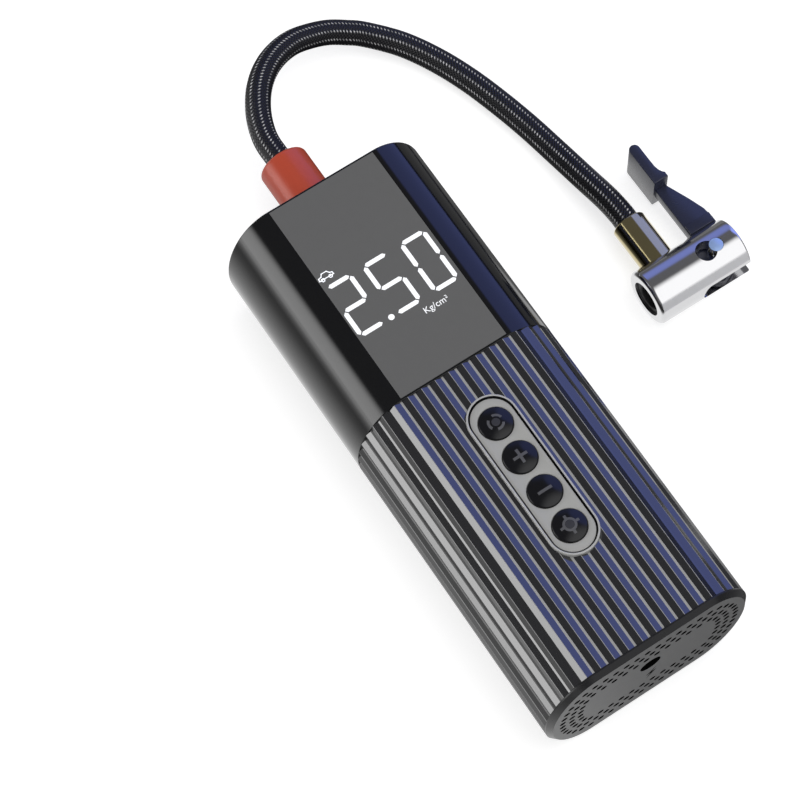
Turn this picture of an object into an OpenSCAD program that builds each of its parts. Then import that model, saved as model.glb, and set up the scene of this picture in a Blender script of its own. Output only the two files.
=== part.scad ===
// Portable tire inflator, lying on its back with the display up.
// +X is right of the display, +Y runs to the hose end, +Z is up. Millimetres.
// The origin is the middle of the back face of the casing.

/* [Casing] */
// Depth of the casing, back to display
body_h = 48; // [48:0.5:52]
// Half width of the flat front and back
flat_half = 17.75; // [17.75:0.05:19]
// Wall thickness of the head, and of the sleeve under its ribs
wall = 2; // [1.8:0.05:2]
// Length of the plain head at the hose end
head_len = 69.5; // [69.5:0.1:72]
// Height of the ribs on the sleeve
rib_h = 0.9; // [0.6:0.05:0.9]
// Number of ribs round the sleeve
rib_count = 44; // [36:2:52]
// Width of the flat floor between two ribs
rib_floor = 0.75; // [0.5:0.05:1.2]
// Thickness of the bottom cap
cap_t = 2; // [2:0.1:2.6]
// Chamfer round the bottom cap
cap_chamfer = 1.5; // [1:0.1:1.8]
// Diameter of a vent hole in the bottom cap
vent_d = 1.2; // [0.8:0.1:1.6]
// Pitch of the vent holes along a row
vent_pitch = 3.3; // [2.8:0.1:4]
// Thickness of the display lens
lens_t = 1.2; // [1:0.05:1.3]

/* [Buttons] */
// Diameter of a button
button_d = 9.7; // [9:0.1:10]
// Distance between two buttons
button_pitch = 11.8; // [11.8:0.1:12.4]
// Distance from the head joint to the first button
button_start = 20; // [19:0.5:22]
// Travel of a button
button_travel = 0.6; // [0.4:0.05:0.6]
// Outer width of the ring round the buttons
bezel_w = 14.9; // [14.8:0.1:15.6]
// How far the ring's round ends lie beyond the end buttons
bezel_end = 1.3; // [0.8:0.1:1.6]

/* [Battery] */
// Free width between the battery and the sleeve, each side
side_room = 2.3; // [2.3:0.1:4]
// Free length between the battery and the motor
spare_len = 7.9; // [6:0.1:10]
// Diameter of a lithium cell
cell_d = 18.4; // [18:0.1:18.6]
// Length of a lithium cell
cell_len = 65; // [64:0.5:66]

/* [Pump] */
// Diameter of the motor can
motor_d = 24.2; // [22:0.1:24.4]
// Length of the motor can
motor_len = 30; // [28:0.5:30.5]
// Diameter of the cylinder bore
bore_d = 16; // [14:0.1:16.4]
// Crank radius, half of the piston stroke
crank_r = 4; // [3:0.1:4]
// Length of the connecting rod between its centres
rod_len = 26; // [26:0.1:27]
// Gear module
gear_m = 0.7; // [0.68:0.005:0.72]
// Teeth on the motor pinion
pinion_teeth = 12; // [12:1:12]
// Teeth on the drive gear
gear_teeth = 48; // [48:1:48]

/* [Hose] */
// Outer diameter of the braided hose
hose_d = 7.8; // [7:0.1:8]
// Diameter of the strain relief collar
collar_d = 15.5; // [14:0.1:16.5]
// Length of the strain relief collar
collar_len = 24; // [24:1:24]

/* [Chuck] */
// Diameter of the chuck body
chuck_d = 17.6; // [17:0.1:17.8]
// Length of the chuck body
chuck_len = 31.6; // [31:0.1:32]
// Bore of the rubber valve seal
seal_bore_d = 7.9; // [7.7:0.05:8.1]
// Travel of the plunger that squeezes the seal
grip_travel = 1.5; // [1:0.1:1.5]
// Diameter of the lever pin
lever_pin_d = 3.8; // [3:0.1:3.8]
// Thickness of the lever arm
lever_t = 4; // [3:0.1:4]

/* [Hidden] */

// Drawing tolerances
EPS = 0.01;
FINE = 64;
ARC_STEPS = 30;
SLIP = 0.05;
FIT = 0.1;
GAP = 0.3;

// ---- Lengths that add up to the casing: battery at one end, pump at the other ----
sleeve_in = rib_h + wall;
cell_r = cell_d / 2;
cell_pitch = cell_d + 0.2;
body_w = 2 * cell_pitch + cell_d + 2 * (sleeve_in + side_room);
jack_room = 7;
top_t = 2;
manifold_h = 9.4;
valve_plate_t = 2;
crown_gap = 0.4;
wrist_drop = 5.1;
gear_r = gear_m * gear_teeth / 2;
pinion_r = gear_m * pinion_teeth / 2;
gear_backlash = 0.1;
motor_r = motor_d / 2;
crank_run = top_t + manifold_h + valve_plate_t + crown_gap + wrist_drop + rod_len + crank_r;
pump_run = crank_run + gear_r + pinion_r + gear_backlash;
body_len = cap_t + jack_room + cell_len + spare_len + motor_r + pump_run;

// ---- Places along the casing ----
y_top = body_len / 2;
y_bot = -body_len / 2;
mid_z = body_h / 2;
y_joint = y_top - head_len;
side_rx = body_w / 2 - flat_half;
side_rz = body_h / 2;
spigot_out = sleeve_in + FIT;
spigot_in = spigot_out + 1.6;
spigot_len = 6;
cap_spigot = 4;
shoulder_t = 2;
y_cap_in = y_bot + cap_t;
front_in_z = body_h - sleeve_in;

// ---- Display ----
lens_half = flat_half - 0.3;
lens_y0 = y_joint + 0.6;
lens_y1 = y_top - 0.6;
lens_z = body_h - lens_t;
head_in_z = body_h - wall;
window_half = 16.9;
window_len = 32;
window_y1 = y_top - 20;
window_y0 = window_y1 - window_len;
module_z1 = head_in_z;
board_t = 1.2;
display_board_z1 = head_in_z - 4.6;
display_board_z0 = display_board_z1 - board_t;
display_board_half = 22.4;
display_board_y0 = y_joint + 5;
display_board_y1 = y_top - 3.6;
boss_x = flat_half + 2.25;
boss_y0 = display_board_y0 + 3;
boss_y1 = display_board_y1 - 2.8;
board_screw_r = 0.9;
digit_t = 0.2;
digit_x = [-12.5, -0.5, 11.9];
digit_y = (window_y0 + window_y1) / 2 - 2.3;
digit_half_w = 3.65;
digit_half_h = 8.6;
digit_stroke = 1.35;
digit_slit = 0.25;
dot_at = [-6.2, digit_y - digit_half_h];
dot_r = 0.9;

// ---- Buttons ----
y_button = y_joint - button_start;
button_ys = [for (i = [0:3]) y_button - i * button_pitch];
bezel_r = bezel_w / 2;
bezel_span = 3 * button_pitch;
bezel_wall = 0.75;
panel_r = bezel_r - 1.1;
bezel_ledge_r = bezel_r - 1.45;
bezel_flange_r = bezel_r + 1.15;
bezel_top = body_h + 0.9;
panel_z0 = front_in_z + 0.9;
panel_z1 = body_h + 0.3;
button_r = button_d / 2;
button_hole_r = button_r + 0.15;
button_flange_r = button_r + 0.85;
button_flange_z0 = panel_z0 - 1.1;
button_flange_t = 0.9;
button_foot_z = panel_z0 - 2;
button_top_z = panel_z1 + 1.2;
button_crown = 0.8;
button_foot_r = 1.8;

// ---- Main board and switches ----
main_board_t = 1.6;
switch_clear = 0.1;
switch_top_z = button_foot_z - button_travel - switch_clear;
switch_h = 4.2;
main_board_z1 = switch_top_z - switch_h;
main_board_z0 = main_board_z1 - main_board_t;
main_board_half = 23;
main_board_len = 62;
main_board_y1 = y_joint - 8.5;
main_board_y0 = main_board_y1 - main_board_len;

// ---- Battery and chassis ----
cell_z = sleeve_in + 2.9 + cell_r;
cell_y0 = y_cap_in + jack_room;
cell_y1 = cell_y0 + cell_len;
tab_t = 0.3;
end_wall_t = 1.6;
end_wall_gap = 0.4;
plate_z0 = cell_z + cell_r + 0.4;
plate_t = 1.6;
plate_z1 = plate_z0 + plate_t;
plate_y0 = cell_y0 - end_wall_gap - end_wall_t;
plate_y1 = cell_y1 + end_wall_gap + end_wall_t + 0.6;
post_r = 2.5;
post_x = 19.5;
post_y0 = main_board_y0 + 4;
post_y1 = cell_y1 - 6;
lead_r = 0.8;
lead_y = cell_y1 + tab_t + lead_r;
cradle_h = 5;
saddle_len = 6;

// ---- Charging jack ----
port_z = mid_z + 5;
port_r = 3.3;
jack_w = 9;
jack_len = 13;
jack_z0 = cell_z + cell_r + 0.3;
jack_z1 = port_z + 4.5;
jack_pin_r = 1;
jack_mouth = 1.3;
socket_r = 2.9;

// ---- Pump train: worked out from the top cap towards the motor ----
y_top_in = y_top - top_t;
pump_x = 11;
pump_z = mid_z - 2;
y_head0 = y_top_in - manifold_h;
head_t = 5.4;
y_deck = y_head0 - valve_plate_t;
bore_r = bore_d / 2;
cylinder_r = bore_r + 2;
piston_h = 8.2;
y_crown = y_deck - crown_gap;
y_wrist = y_crown - wrist_drop;
y_crank = y_wrist - rod_len;
y_gear = y_crank - crank_r;
y_cyl0 = y_crown - piston_h - 2 * crank_r - 0.7;
addendum = 0.8 * gear_m;
dedendum = gear_m;
pressure_angle = 25;
y_motor = y_gear - gear_r - pinion_r - gear_backlash;
plate_a_x0 = 6;
plate_a_x1 = 8;
motor_x0 = plate_a_x0 - motor_len;
can_t = 1;
shaft_r = 1.15;
axle_r = 2;
axle_head_r = 3.2;
axle_head_t = 0.8;
rod_x0 = pump_x - 1.5;
rod_x1 = pump_x + 1.5;
gear_x0 = rod_x1 + 1;
gear_x1 = gear_x0 + 5;
hub_r = 4;
hub_x1 = gear_x1 + 0.8;
plate_b_x0 = gear_x1 + 1;
plate_b_x1 = plate_b_x0 + 2.5;
wall_c_y0 = y_cyl0 - 0.5;
wall_c_y1 = wall_c_y0 + 2.5;
frame_top = pump_z + 12;
tab_z0 = 6;
frame_tab_t = 2;
frame_tab_x0 = -8;
frame_tab_w = 8;
frame_tab_ys = [wall_c_y0 - 25, wall_c_y0 - 8];
frame_screw_x = -4;
pin_r = 1.5;
rod_w = 4;
rod_big_r = 3.2;
rod_small_r = 2.6;

// ---- Hose route and its fittings ----
collar_r = collar_d / 2;
collar_x = 0;
collar_z = mid_z - 3;
neck_r = collar_r - 1.9;
y_collar = y_top + collar_len;
barb_r = 2;
barb_bore = 1;
hose_r = hose_d / 2;
HOSE_SIDES = 12;
hose_end = [77.1, 37.2, chuck_d / 2];
hose_route = [
  [collar_x, y_collar, collar_z], [collar_x, y_collar + 8, collar_z],
  [1.4, 120, 21], [4, 125.8, 20.9], [7.9, 131.5, 20.3], [12.9, 136.3, 19.2],
  [18.8, 139.9, 17.4], [25.3, 142, 15.2], [31.5, 142.3, 12.8], [37.7, 141.4, 10.5],
  [43, 139.2, 8.5], [47.9, 136.2, 6.9], [55.9, 128, 5], [61.9, 117.8, 4.1],
  [66.3, 106.5, 4], [69.6, 94.8, 4], [72.3, 82.9, 4], [74.2, 70.7, 4.7],
  [75.5, 58, 6.9], [76.6, 48, 8.5], [hose_end.x, hose_end.y + 4.3, hose_end.z], hose_end
];

// ---- Chuck: axis along X, mouth towards the casing ----
chuck_r = chuck_d / 2;
chuck_x0 = 67.3;
chuck_x1 = chuck_x0 + chuck_len;
chuck_y = 14;
chuck_z = hose_end.z;
mouth_r = 5.6;
plunger_r = 4.15;
port_x = hose_end.x;
mouth_x1 = port_x - barb_r - 0.2;
seal_x0 = chuck_x0 + 0.9;
seal_r = seal_bore_d / 2;
ferrule_r = 5.4;
ferrule_y0 = chuck_y + chuck_r + 0.3;
pivot_x = chuck_x0 + 24.3;
cam_r = 5;
cam_gap = 0.25;
plunger_x1 = pivot_x - cam_r - cam_gap;
flange_x1 = mouth_x1 - 0.2;
flange_x0 = flange_x1 - 0.8;
seal_x1 = flange_x0 - grip_travel - GAP;
slot_half = lever_t / 2 + 0.1;
slot_x0 = pivot_x - cam_r - grip_travel - 0.6;
lever_pin_r = lever_pin_d / 2;
peep_x = chuck_x0 + 20.8;
peep_r = 3.25;
paddle_t = 3.4;
paddle_x0 = -3;
paddle_y0 = 27;
paddle_y1 = 41;
paddle_z0 = chuck_z - 6.5;
paddle_z1 = chuck_z + 7.5;

// ================= Outline of the casing =================

// Flat front and back joined by half ellipses, each point moved in by d.
function arc_point(a) = [flat_half + side_rx * cos(a), side_rz * sin(a)];
function arc_normal(a) = let (n = [cos(a) / side_rx, sin(a) / side_rz]) n / norm(n);
function inset_point(a, d) = arc_point(a) - d * arc_normal(a);
function arc_angle(i) = 90 - 180 * i / ARC_STEPS;
function right_arc(d) = [for (i = [0:ARC_STEPS]) inset_point(arc_angle(i), d)];
function outline(d) = concat(right_arc(d), -right_arc(d));

// Right half of an inset outline, from front centre line to back centre line.
function half_path(d) = concat(
  [[0, side_rz - d]],
  [for (p = right_arc(d)) if (p.x > flat_half - EPS) p],
  [[0, d - side_rz]]
);
function step_to(path, i) = i < len(path) ? norm(path[i] - path[i - 1]) : 0;
function running_length(path) = [
  for (i = 0, s = 0; i < len(path); s = s + step_to(path, i + 1), i = i + 1) s
];
function place_at(lengths, s) = lookup(s, [for (i = [0:len(lengths) - 1]) [lengths[i], i]]);
function point_at(path, u) = let (
  i = min(floor(u), len(path) - 2)
) path[i] + (u - i) * (path[i + 1] - path[i]);
function last(v) = v[len(v) - 1];

module prism_y(y0, y1) {
  translate([0, y1, mid_z]) rotate([90, 0, 0]) linear_extrude(y1 - y0) children();
}

module ring_y(y0, y1, d_out, d_in) {
  prism_y(y0, y1) difference() {
    polygon(outline(d_out));
    polygon(outline(d_in));
  }
}

// ================= Simple solids =================

module cyl_x(r, x0, x1, y, z) {
  translate([x0, y, z]) rotate([0, 90, 0]) cylinder(r = r, h = x1 - x0, $fn = FINE);
}

module cyl_y(r, y0, y1, x, z) {
  translate([x, y0, z]) rotate([-90, 0, 0]) cylinder(r = r, h = y1 - y0, $fn = FINE);
}

module cyl_z(r, z0, z1, x, y) {
  translate([x, y, z0]) cylinder(r = r, h = z1 - z0, $fn = FINE);
}

module box(x, y, z) {
  translate([x[0], y[0], z[0]]) cube([x[1] - x[0], y[1] - y[0], z[1] - z[0]]);
}

// A profile in the YZ plane, drawn out along X from x0 to x1.
module prism_x(x0, x1, y, z) {
  translate([x0, y, z]) rotate([90, 0, 90]) linear_extrude(x1 - x0) children();
}

// Flat with round ends that runs along Y over all four buttons.
module stadium(r, z0, z1) {
  translate([0, y_button, z0]) linear_extrude(z1 - z0) {
    translate([0, bezel_end]) circle(r, $fn = FINE);
    translate([0, -bezel_span - bezel_end]) circle(r, $fn = FINE);
    translate([-r, -bezel_span - bezel_end]) square([2 * r, bezel_span + 2 * bezel_end]);
  }
}

// ================= Casing =================

module display_bosses() {
  for (x = [-boss_x, boss_x], y = [boss_y0, boss_y1]) {
    cyl_z(1.8, display_board_z1, head_in_z + 0.4, x, y);
  }
}

module head_shell() color("#17181c") difference() {
  union() {
    ring_y(y_joint, y_top, 0, wall);
    ring_y(y_joint, y_joint + shoulder_t, 0, spigot_in);
    ring_y(y_joint - spigot_len, y_joint + shoulder_t, spigot_out, spigot_in);
    display_bosses();
    for (y = frame_tab_ys) cyl_z(3.5, wall - 0.5, tab_z0, frame_screw_x, y + frame_tab_w / 2);
  }
  box([-lens_half, lens_half], [lens_y0, lens_y1], [lens_z, body_h + 1]);
  box([-window_half, window_half], [window_y0, window_y1], [lens_z - wall, body_h]);
  for (x = [-boss_x, boss_x], y = [boss_y0, boss_y1]) {
    cyl_z(board_screw_r, display_board_z1 - 1, head_in_z - 0.6, x, y);
  }
  for (y = frame_tab_ys) cyl_z(1.25, wall + 0.6, tab_z0 + 1, frame_screw_x, y + frame_tab_w / 2);
}

module display_lens() color("#5f6062") difference() {
  box([FIT - lens_half, lens_half - FIT], [lens_y0 + FIT, lens_y1 - FIT], [lens_z, body_h]);
  translate([0, 0, body_h - digit_t]) linear_extrude(1) digits_2d();
}

lamp_x = -15;
lamp_r = 5;

module top_cap() color("#17181c") {
  difference() {
    prism_y(y_top_in, y_top) polygon(outline(wall + SLIP));
    cyl_y(neck_r + SLIP, y_top_in - 1, y_top + 1, collar_x, collar_z);
    cyl_y(lamp_r + SLIP, y_top_in - 1, y_top + 1, lamp_x, mid_z);
  }
  for (x = [lamp_x - 8, lamp_x + 8]) {
    cyl_y(1.6, y_top_in - 2.6, y_top_in, x, mid_z);
  }
}

module lamp_lens() color("#e8ecf0") {
  cyl_y(lamp_r, y_top_in - EPS, y_top - 0.2, lamp_x, mid_z);
  cyl_y(lamp_r + 1, y_top_in - 1.2, y_top_in, lamp_x, mid_z);
}

module lamp_board() color("#e9e6d8") {
  box([lamp_x - 9.6, lamp_x + 9.6], [y_top_in - 3.6, y_top_in - 2.6], [mid_z - 5, mid_z + 5]);
  cyl_y(2.4, y_top_in - 2.6, y_top_in - 1.5, lamp_x, mid_z);
}

// Ridges with a narrow flat floor between two of them, crests level with the head.
rib_path = half_path(0);
root_path = half_path(rib_h);
rib_lengths = running_length(rib_path);
rib_pitch = 2 * last(rib_lengths) / rib_count;
crest_half = 0.15;

function crest_at(s) = point_at(rib_path, place_at(rib_lengths, s));
function root_at(s) = point_at(root_path, place_at(rib_lengths, s));
half_ribs = [
  for (k = [0:rib_count / 2 - 1], q = [0:3]) let (s = k * rib_pitch)
    q == 0 ? root_at(s + rib_floor / 2)
    : q == 1 ? crest_at(s + rib_pitch / 2 - crest_half)
    : q == 2 ? crest_at(s + rib_pitch / 2 + crest_half)
    : root_at(s + rib_pitch - rib_floor / 2)
];
left_ribs = [for (i = [len(half_ribs) - 1:-1:0]) [-half_ribs[i].x, half_ribs[i].y]];

module ribbed_sleeve() color("#1d1e22") difference() {
  prism_y(y_cap_in, y_joint) difference() {
    polygon(concat(half_ribs, left_ribs));
    polygon(outline(sleeve_in));
  }
  stadium(bezel_r + SLIP, front_in_z - 1, body_h + 1);
}

// Rows of vents follow the outline, closer to it at the sides than at the front;
// every second row is shifted by half a hole.
vent_sides = [4.6, 7.6, 10.4];
vent_fronts = [6.2, 9.4, 12.6];

function vent_arc_point(a, dx, dz) = [flat_half + (side_rx - dx) * cos(a), (side_rz - dz) * sin(a)];
function vent_path(dx, dz) = concat(
  [[0, side_rz - dz]],
  [for (i = [0:ARC_STEPS]) vent_arc_point(arc_angle(i), dx, dz)],
  [[0, dz - side_rz]]
);
function vent_points(row) = let (
  path = vent_path(vent_sides[row], vent_fronts[row]),
  lengths = running_length(path),
  n = floor(last(lengths) / vent_pitch),
  step = last(lengths) / n,
  shift = row % 2 == 1 ? 0 : 0.5
) [for (k = [0:n - (shift > 0 ? 1 : 0)]) point_at(path, place_at(lengths, (k + shift) * step))];

function mirrored(points) = [for (p = points) if (p.x > EPS) [-p.x, p.y]];

module vents() {
  for (row = [0:2]) {
    right = vent_points(row);
    for (p = concat(right, mirrored(right))) translate(p) circle(d = vent_d, $fn = 16);
  }
}

module cap_block() {
  hull() {
    prism_y(y_bot + cap_chamfer, y_cap_in) polygon(outline(0));
    prism_y(y_bot, y_bot + cap_chamfer) polygon(outline(cap_chamfer));
  }
}

module bottom_cap() color("#6c6c6e") difference() {
  union() {
    cap_block();
    ring_y(y_cap_in - EPS, y_cap_in + cap_spigot, spigot_out, spigot_in);
  }
  prism_y(y_bot - 1, y_cap_in + cap_spigot + 1) vents();
  cyl_y(port_r, y_bot - 1, y_cap_in + 1, 0, port_z);
}

// ================= Buttons =================

module button_bezel() color("#b9b9bb") difference() {
  union() {
    stadium(bezel_r, panel_z0 - 1.9, bezel_top);
    stadium(bezel_flange_r, panel_z0 - 1.9, front_in_z);
  }
  stadium(bezel_r - bezel_wall, panel_z0, bezel_top + 1);
  stadium(bezel_ledge_r, panel_z0 - 3, panel_z0 + EPS);
}

module button_panel() color("#a0a0a1") difference() {
  stadium(panel_r, panel_z0, panel_z1);
  for (y = button_ys) cyl_z(button_hole_r, panel_z0 - 1, panel_z1 + 1, 0, y);
}

// One domed key: crowned cap, retaining flange and the foot that meets its switch.
module button(y) color("#101114") {
  dome_r = (button_r * button_r + button_crown * button_crown) / (2 * button_crown);
  intersection() {
    cyl_z(button_r, button_flange_z0, button_top_z, 0, y);
    translate([0, y, button_top_z - dome_r]) sphere(dome_r, $fn = 200);
  }
  cyl_z(button_flange_r, button_flange_z0, button_flange_z0 + button_flange_t, 0, y);
  cyl_z(button_foot_r, button_foot_z, button_flange_z0 + EPS, 0, y);
}

module button_mode() { button(button_ys[0]); }
module button_plus() { button(button_ys[1]); }
module button_minus() { button(button_ys[2]); }
module button_light() { button(button_ys[3]); }

// ================= Chassis and battery =================

// Plate over the cells with end walls round them and posts under the main board.
module chassis() color("#3b3d42") {
  half = flat_half + side_rx - sleeve_in - 0.2;
  jack_half = jack_w / 2 + 0.5;
  jack_y1 = y_cap_in + jack_len + 0.5;
  difference() {
    box([-half, half], [plate_y0, plate_y1], [plate_z0, plate_z1]);
    box([-jack_half, jack_half], [plate_y0 - 1, jack_y1], [plate_z0 - 1, plate_z1 + 1]);
    for (s = [-1, 1]) translate([0, cell_y0 + cell_len / 2 + s * 9]) {
      box([-14, 14], [-5, 5], [plate_z0 - 1, plate_z1 + 1]);
    }
    lead_notches();
  }
  difference() {
    union() {
      box([-22, 22], [plate_y0, plate_y0 + end_wall_t], [8, plate_z0 + EPS]);
      box([-22, 22], [cell_y1 + end_wall_gap, cell_y1 + end_wall_gap + end_wall_t], [8, plate_z0 + EPS]);
    }
    box([-jack_half, jack_half], [plate_y0 - 1, plate_y0 + 5], [plate_z0 - 1, plate_z1 + 1]);
    lead_notches();
  }
  for (x = [-post_x, post_x], y = [post_y0, post_y1]) {
    cyl_z(post_r, plate_z1 - EPS, main_board_z0, x, y);
  }
}

module lead_notches() {
  for (x = [-cell_pitch, cell_pitch]) {
    box([x - 1.6, x + 1.6], [cell_y1, lead_y + 1.6], [cell_z + 4, plate_z1 + 1]);
  }
}

module cells_at() {
  for (x = [-cell_pitch, 0, cell_pitch]) translate([x, 0, cell_z]) rotate([-90, 0, 0]) children();
}

// Two saddles that hold the cells off the back wall.
module battery_cradle() color("#4a4c50") difference() {
  union() {
    for (y = [cell_y0 + 8, cell_y1 - 8 - saddle_len]) {
      box([-flat_half, flat_half], [y, y + saddle_len], [sleeve_in, sleeve_in + cradle_h]);
    }
    box([-2, 2], [cell_y0 + 8, cell_y1 - 8], [sleeve_in, sleeve_in + 2]);
  }
  cells_at() translate([0, 0, cell_y0]) cylinder(r = cell_r + SLIP, h = cell_len, $fn = FINE);
}

module battery_cells() color("#3f7fb5") {
  cells_at() {
    translate([0, 0, cell_y0]) cylinder(r = cell_r, h = cell_len, $fn = FINE);
  }
}

// Nickel strips: all three cells joined at the cap end, two strips at the other.
module cell_tabs() color("#c9c5bb") {
  box([-cell_pitch - 3, cell_pitch + 3], [cell_y0 - tab_t, cell_y0], [cell_z - 3, cell_z + 3]);
  for (x = [-cell_pitch, cell_pitch]) {
    box([x - 3, x + 3], [cell_y1, cell_y1 + tab_t], [cell_z - 3, cell_z + 8]);
  }
}

module battery_leads() color("#b3261e") {
  for (x = [-cell_pitch, cell_pitch]) {
    cyl_z(lead_r, cell_z + 5, main_board_z0, x, lead_y);
  }
}

// ================= Electronics =================

module main_board() color("#1f5b3a") {
  box([-main_board_half, main_board_half], [main_board_y0, main_board_y1], [main_board_z0, main_board_z1]);
}

module tact_switches() color("#2a2a2c") {
  for (y = button_ys) {
    box([-3, 3], [y - 3, y + 3], [main_board_z1, switch_top_z - 0.8]);
    cyl_z(1.7, switch_top_z - 0.8 - EPS, switch_top_z, 0, y);
  }
}

module board_components() color("#26272b") {
  top = main_board_z1;
  box([12, 19], [y_button - 12, y_button - 5], [top, top + 1.4]);
  box([12, 18], [y_button - 26, y_button - 20], [top, top + 1.2]);
  box([-20, -12], [y_button - 14, y_button - 6], [top, top + 3.4]);
  cyl_z(2.5, top, top + 3.6, -16, y_button - 22);
  cyl_z(2.5, top, top + 3.6, -16, y_button - 29);
  box([11, 20], [main_board_y0 + 1, main_board_y0 + 7], [top, top + 3.5]);
}

// Round socket behind the bottom cap: wide mouth, socket bore and centre pin.
module charge_jack() color("#1a1a1c") {
  difference() {
    box([-jack_w / 2, jack_w / 2], [y_cap_in, y_cap_in + jack_len], [jack_z0, jack_z1]);
    cyl_y(port_r + GAP, y_cap_in - 1, y_cap_in + jack_mouth, 0, port_z);
    cyl_y(socket_r, y_cap_in, y_cap_in + jack_len - 2, 0, port_z);
  }
  cyl_y(jack_pin_r, y_cap_in + jack_mouth + 0.6, y_cap_in + jack_len - 1.9, 0, port_z);
}

module display_board() color("#1f5b3a") difference() {
  box([-display_board_half, display_board_half], [display_board_y0, display_board_y1],
      [display_board_z0, display_board_z1]);
  for (x = [-boss_x, boss_x], y = [boss_y0, boss_y1]) {
    cyl_z(board_screw_r + SLIP, display_board_z0 - 1, display_board_z1 + 1, x, y);
  }
}

module board_screws() color("#8d8f93") {
  for (x = [-boss_x, boss_x], y = [boss_y0, boss_y1]) {
    cyl_z(board_screw_r, display_board_z0 - 0.4, head_in_z - 1, x, y);
    cyl_z(1.8, display_board_z0 - 0.8, display_board_z0, x, y);
  }
}

module display_module() color("#0c0c0e") {
  box([FIT - window_half, window_half - FIT], [window_y0 + FIT, window_y1 - FIT], [display_board_z1, module_z1]);
}

// One bar of a digit, pointed at both ends; it runs from a to b.
module bar(a, b) {
  d = b - a;
  n = norm(d);
  k = digit_stroke / 2;
  translate(a) rotate(atan2(d.y, d.x)) polygon([
    [digit_slit, 0], [digit_slit + k, k], [n - digit_slit - k, k],
    [n - digit_slit, 0], [n - digit_slit - k, -k], [digit_slit + k, -k]
  ]);
}

// Bars are numbered 0 to 6: top, upper right, lower right, bottom, lower left, upper left, middle.
module digit(lit) {
  w = digit_half_w;
  h = digit_half_h;
  ends = [
    [[-w, h], [w, h]], [[w, h], [w, 0]], [[w, 0], [w, -h]], [[-w, -h], [w, -h]],
    [[-w, 0], [-w, -h]], [[-w, h], [-w, 0]], [[-w, 0], [w, 0]]
  ];
  for (k = lit) bar(ends[k][0], ends[k][1]);
}

module digits_2d() {
  lit = [[0, 1, 6, 4, 3], [0, 5, 6, 2, 3], [0, 1, 2, 3, 4, 5]];
  for (i = [0:2]) translate([digit_x[i], digit_y]) digit(lit[i]);
  translate(dot_at) circle(dot_r, $fn = 32);
}

// White light windows let into the face of the lens.
module display_digits() color("#f4f6f8") {
  translate([0, 0, body_h - digit_t]) linear_extrude(digit_t) digits_2d();
}

// ================= Pump frame and motor =================

// Side plates A and B and the cylinder wall C in one casting, with two screw tabs.
module pump_frame() color("#9a9ca0") difference() {
  union() {
    cyl_x(13, plate_a_x0, plate_a_x1, y_motor, pump_z);
    box([plate_a_x0, plate_a_x1], [y_joint + shoulder_t + 0.3, wall_c_y1], [wall + FIT, frame_top]);
    box([plate_b_x0, plate_b_x1], [y_gear - 8, wall_c_y1], [pump_z - 12, frame_top]);
    box([-1.5, pump_x + cylinder_r + 2], [wall_c_y0, wall_c_y1], [6, frame_top + 2]);
    for (y = frame_tab_ys) {
      box([frame_tab_x0, plate_a_x0 + EPS], [y, y + frame_tab_w], [tab_z0, tab_z0 + frame_tab_t]);
    }
  }
  cyl_x(4 + SLIP, plate_a_x0 - 1, plate_a_x1 + 1, y_motor, pump_z);
  for (s = [-1, 1]) cyl_x(1.3, plate_a_x0 - 1, plate_a_x1 + 1, y_motor, pump_z + s * 8.5);
  cyl_x(axle_r, plate_b_x0 - 1, plate_b_x1 + 1, y_gear, pump_z);
  cyl_y(cylinder_r, wall_c_y0 - 1, wall_c_y1 + 1, pump_x, pump_z);
  for (y = frame_tab_ys) cyl_z(1.35, tab_z0 - 1, tab_z0 + frame_tab_t + 1, frame_screw_x, y + frame_tab_w / 2);
}

module frame_screws() color("#8d8f93") {
  for (y = frame_tab_ys) {
    cyl_z(1.25, wall + 0.8, tab_z0 + frame_tab_t + 0.5, frame_screw_x, y + frame_tab_w / 2);
    cyl_z(2.8, tab_z0 + frame_tab_t, tab_z0 + frame_tab_t + 1.6, frame_screw_x, y + frame_tab_w / 2);
  }
}

module motor_can() color("#a9abae") difference() {
  union() {
    cyl_x(motor_r, motor_x0, plate_a_x0, y_motor, pump_z);
    cyl_x(4, plate_a_x0 - EPS, plate_a_x1 - 0.4, y_motor, pump_z);
  }
  cyl_x(motor_r - can_t, motor_x0 - 1, plate_a_x0 - 1.4, y_motor, pump_z);
  cyl_x(2.6, plate_a_x0 - 3, plate_a_x1, y_motor, pump_z);
  for (s = [-1, 1]) cyl_x(1.2, plate_a_x0 - 3, plate_a_x0 + 1, y_motor, pump_z + s * 8.5);
}

module motor_screws() color("#8d8f93") {
  for (s = [-1, 1]) {
    cyl_x(1.2, plate_a_x0 - 1.3, plate_a_x1 + 0.5, y_motor, pump_z + s * 8.5);
    cyl_x(2.2, plate_a_x1, plate_a_x1 + 1.4, y_motor, pump_z + s * 8.5);
  }
}

module motor_end_bell() color("#e3e0d6") difference() {
  cyl_x(motor_r - can_t, motor_x0, motor_x0 + 3.5, y_motor, pump_z);
  cyl_x(2.6, motor_x0 - 1, motor_x0 + 5, y_motor, pump_z);
}

module motor_bushes() color("#b08d57") difference() {
  union() {
    cyl_x(2.6, plate_a_x0 - 1.4, plate_a_x1 - 0.4, y_motor, pump_z);
    cyl_x(2.6, motor_x0, motor_x0 + 3.5, y_motor, pump_z);
  }
  cyl_x(shaft_r + 0.03, motor_x0 - 1, plate_a_x1 + 1, y_motor, pump_z);
}

magnet_in = motor_r - can_t - 2.4;
pole_out = magnet_in - 0.5;
pole_in = pole_out - 1.3;
armature_x0 = motor_x0 + 9;
armature_x1 = plate_a_x0 - 5;

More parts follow.
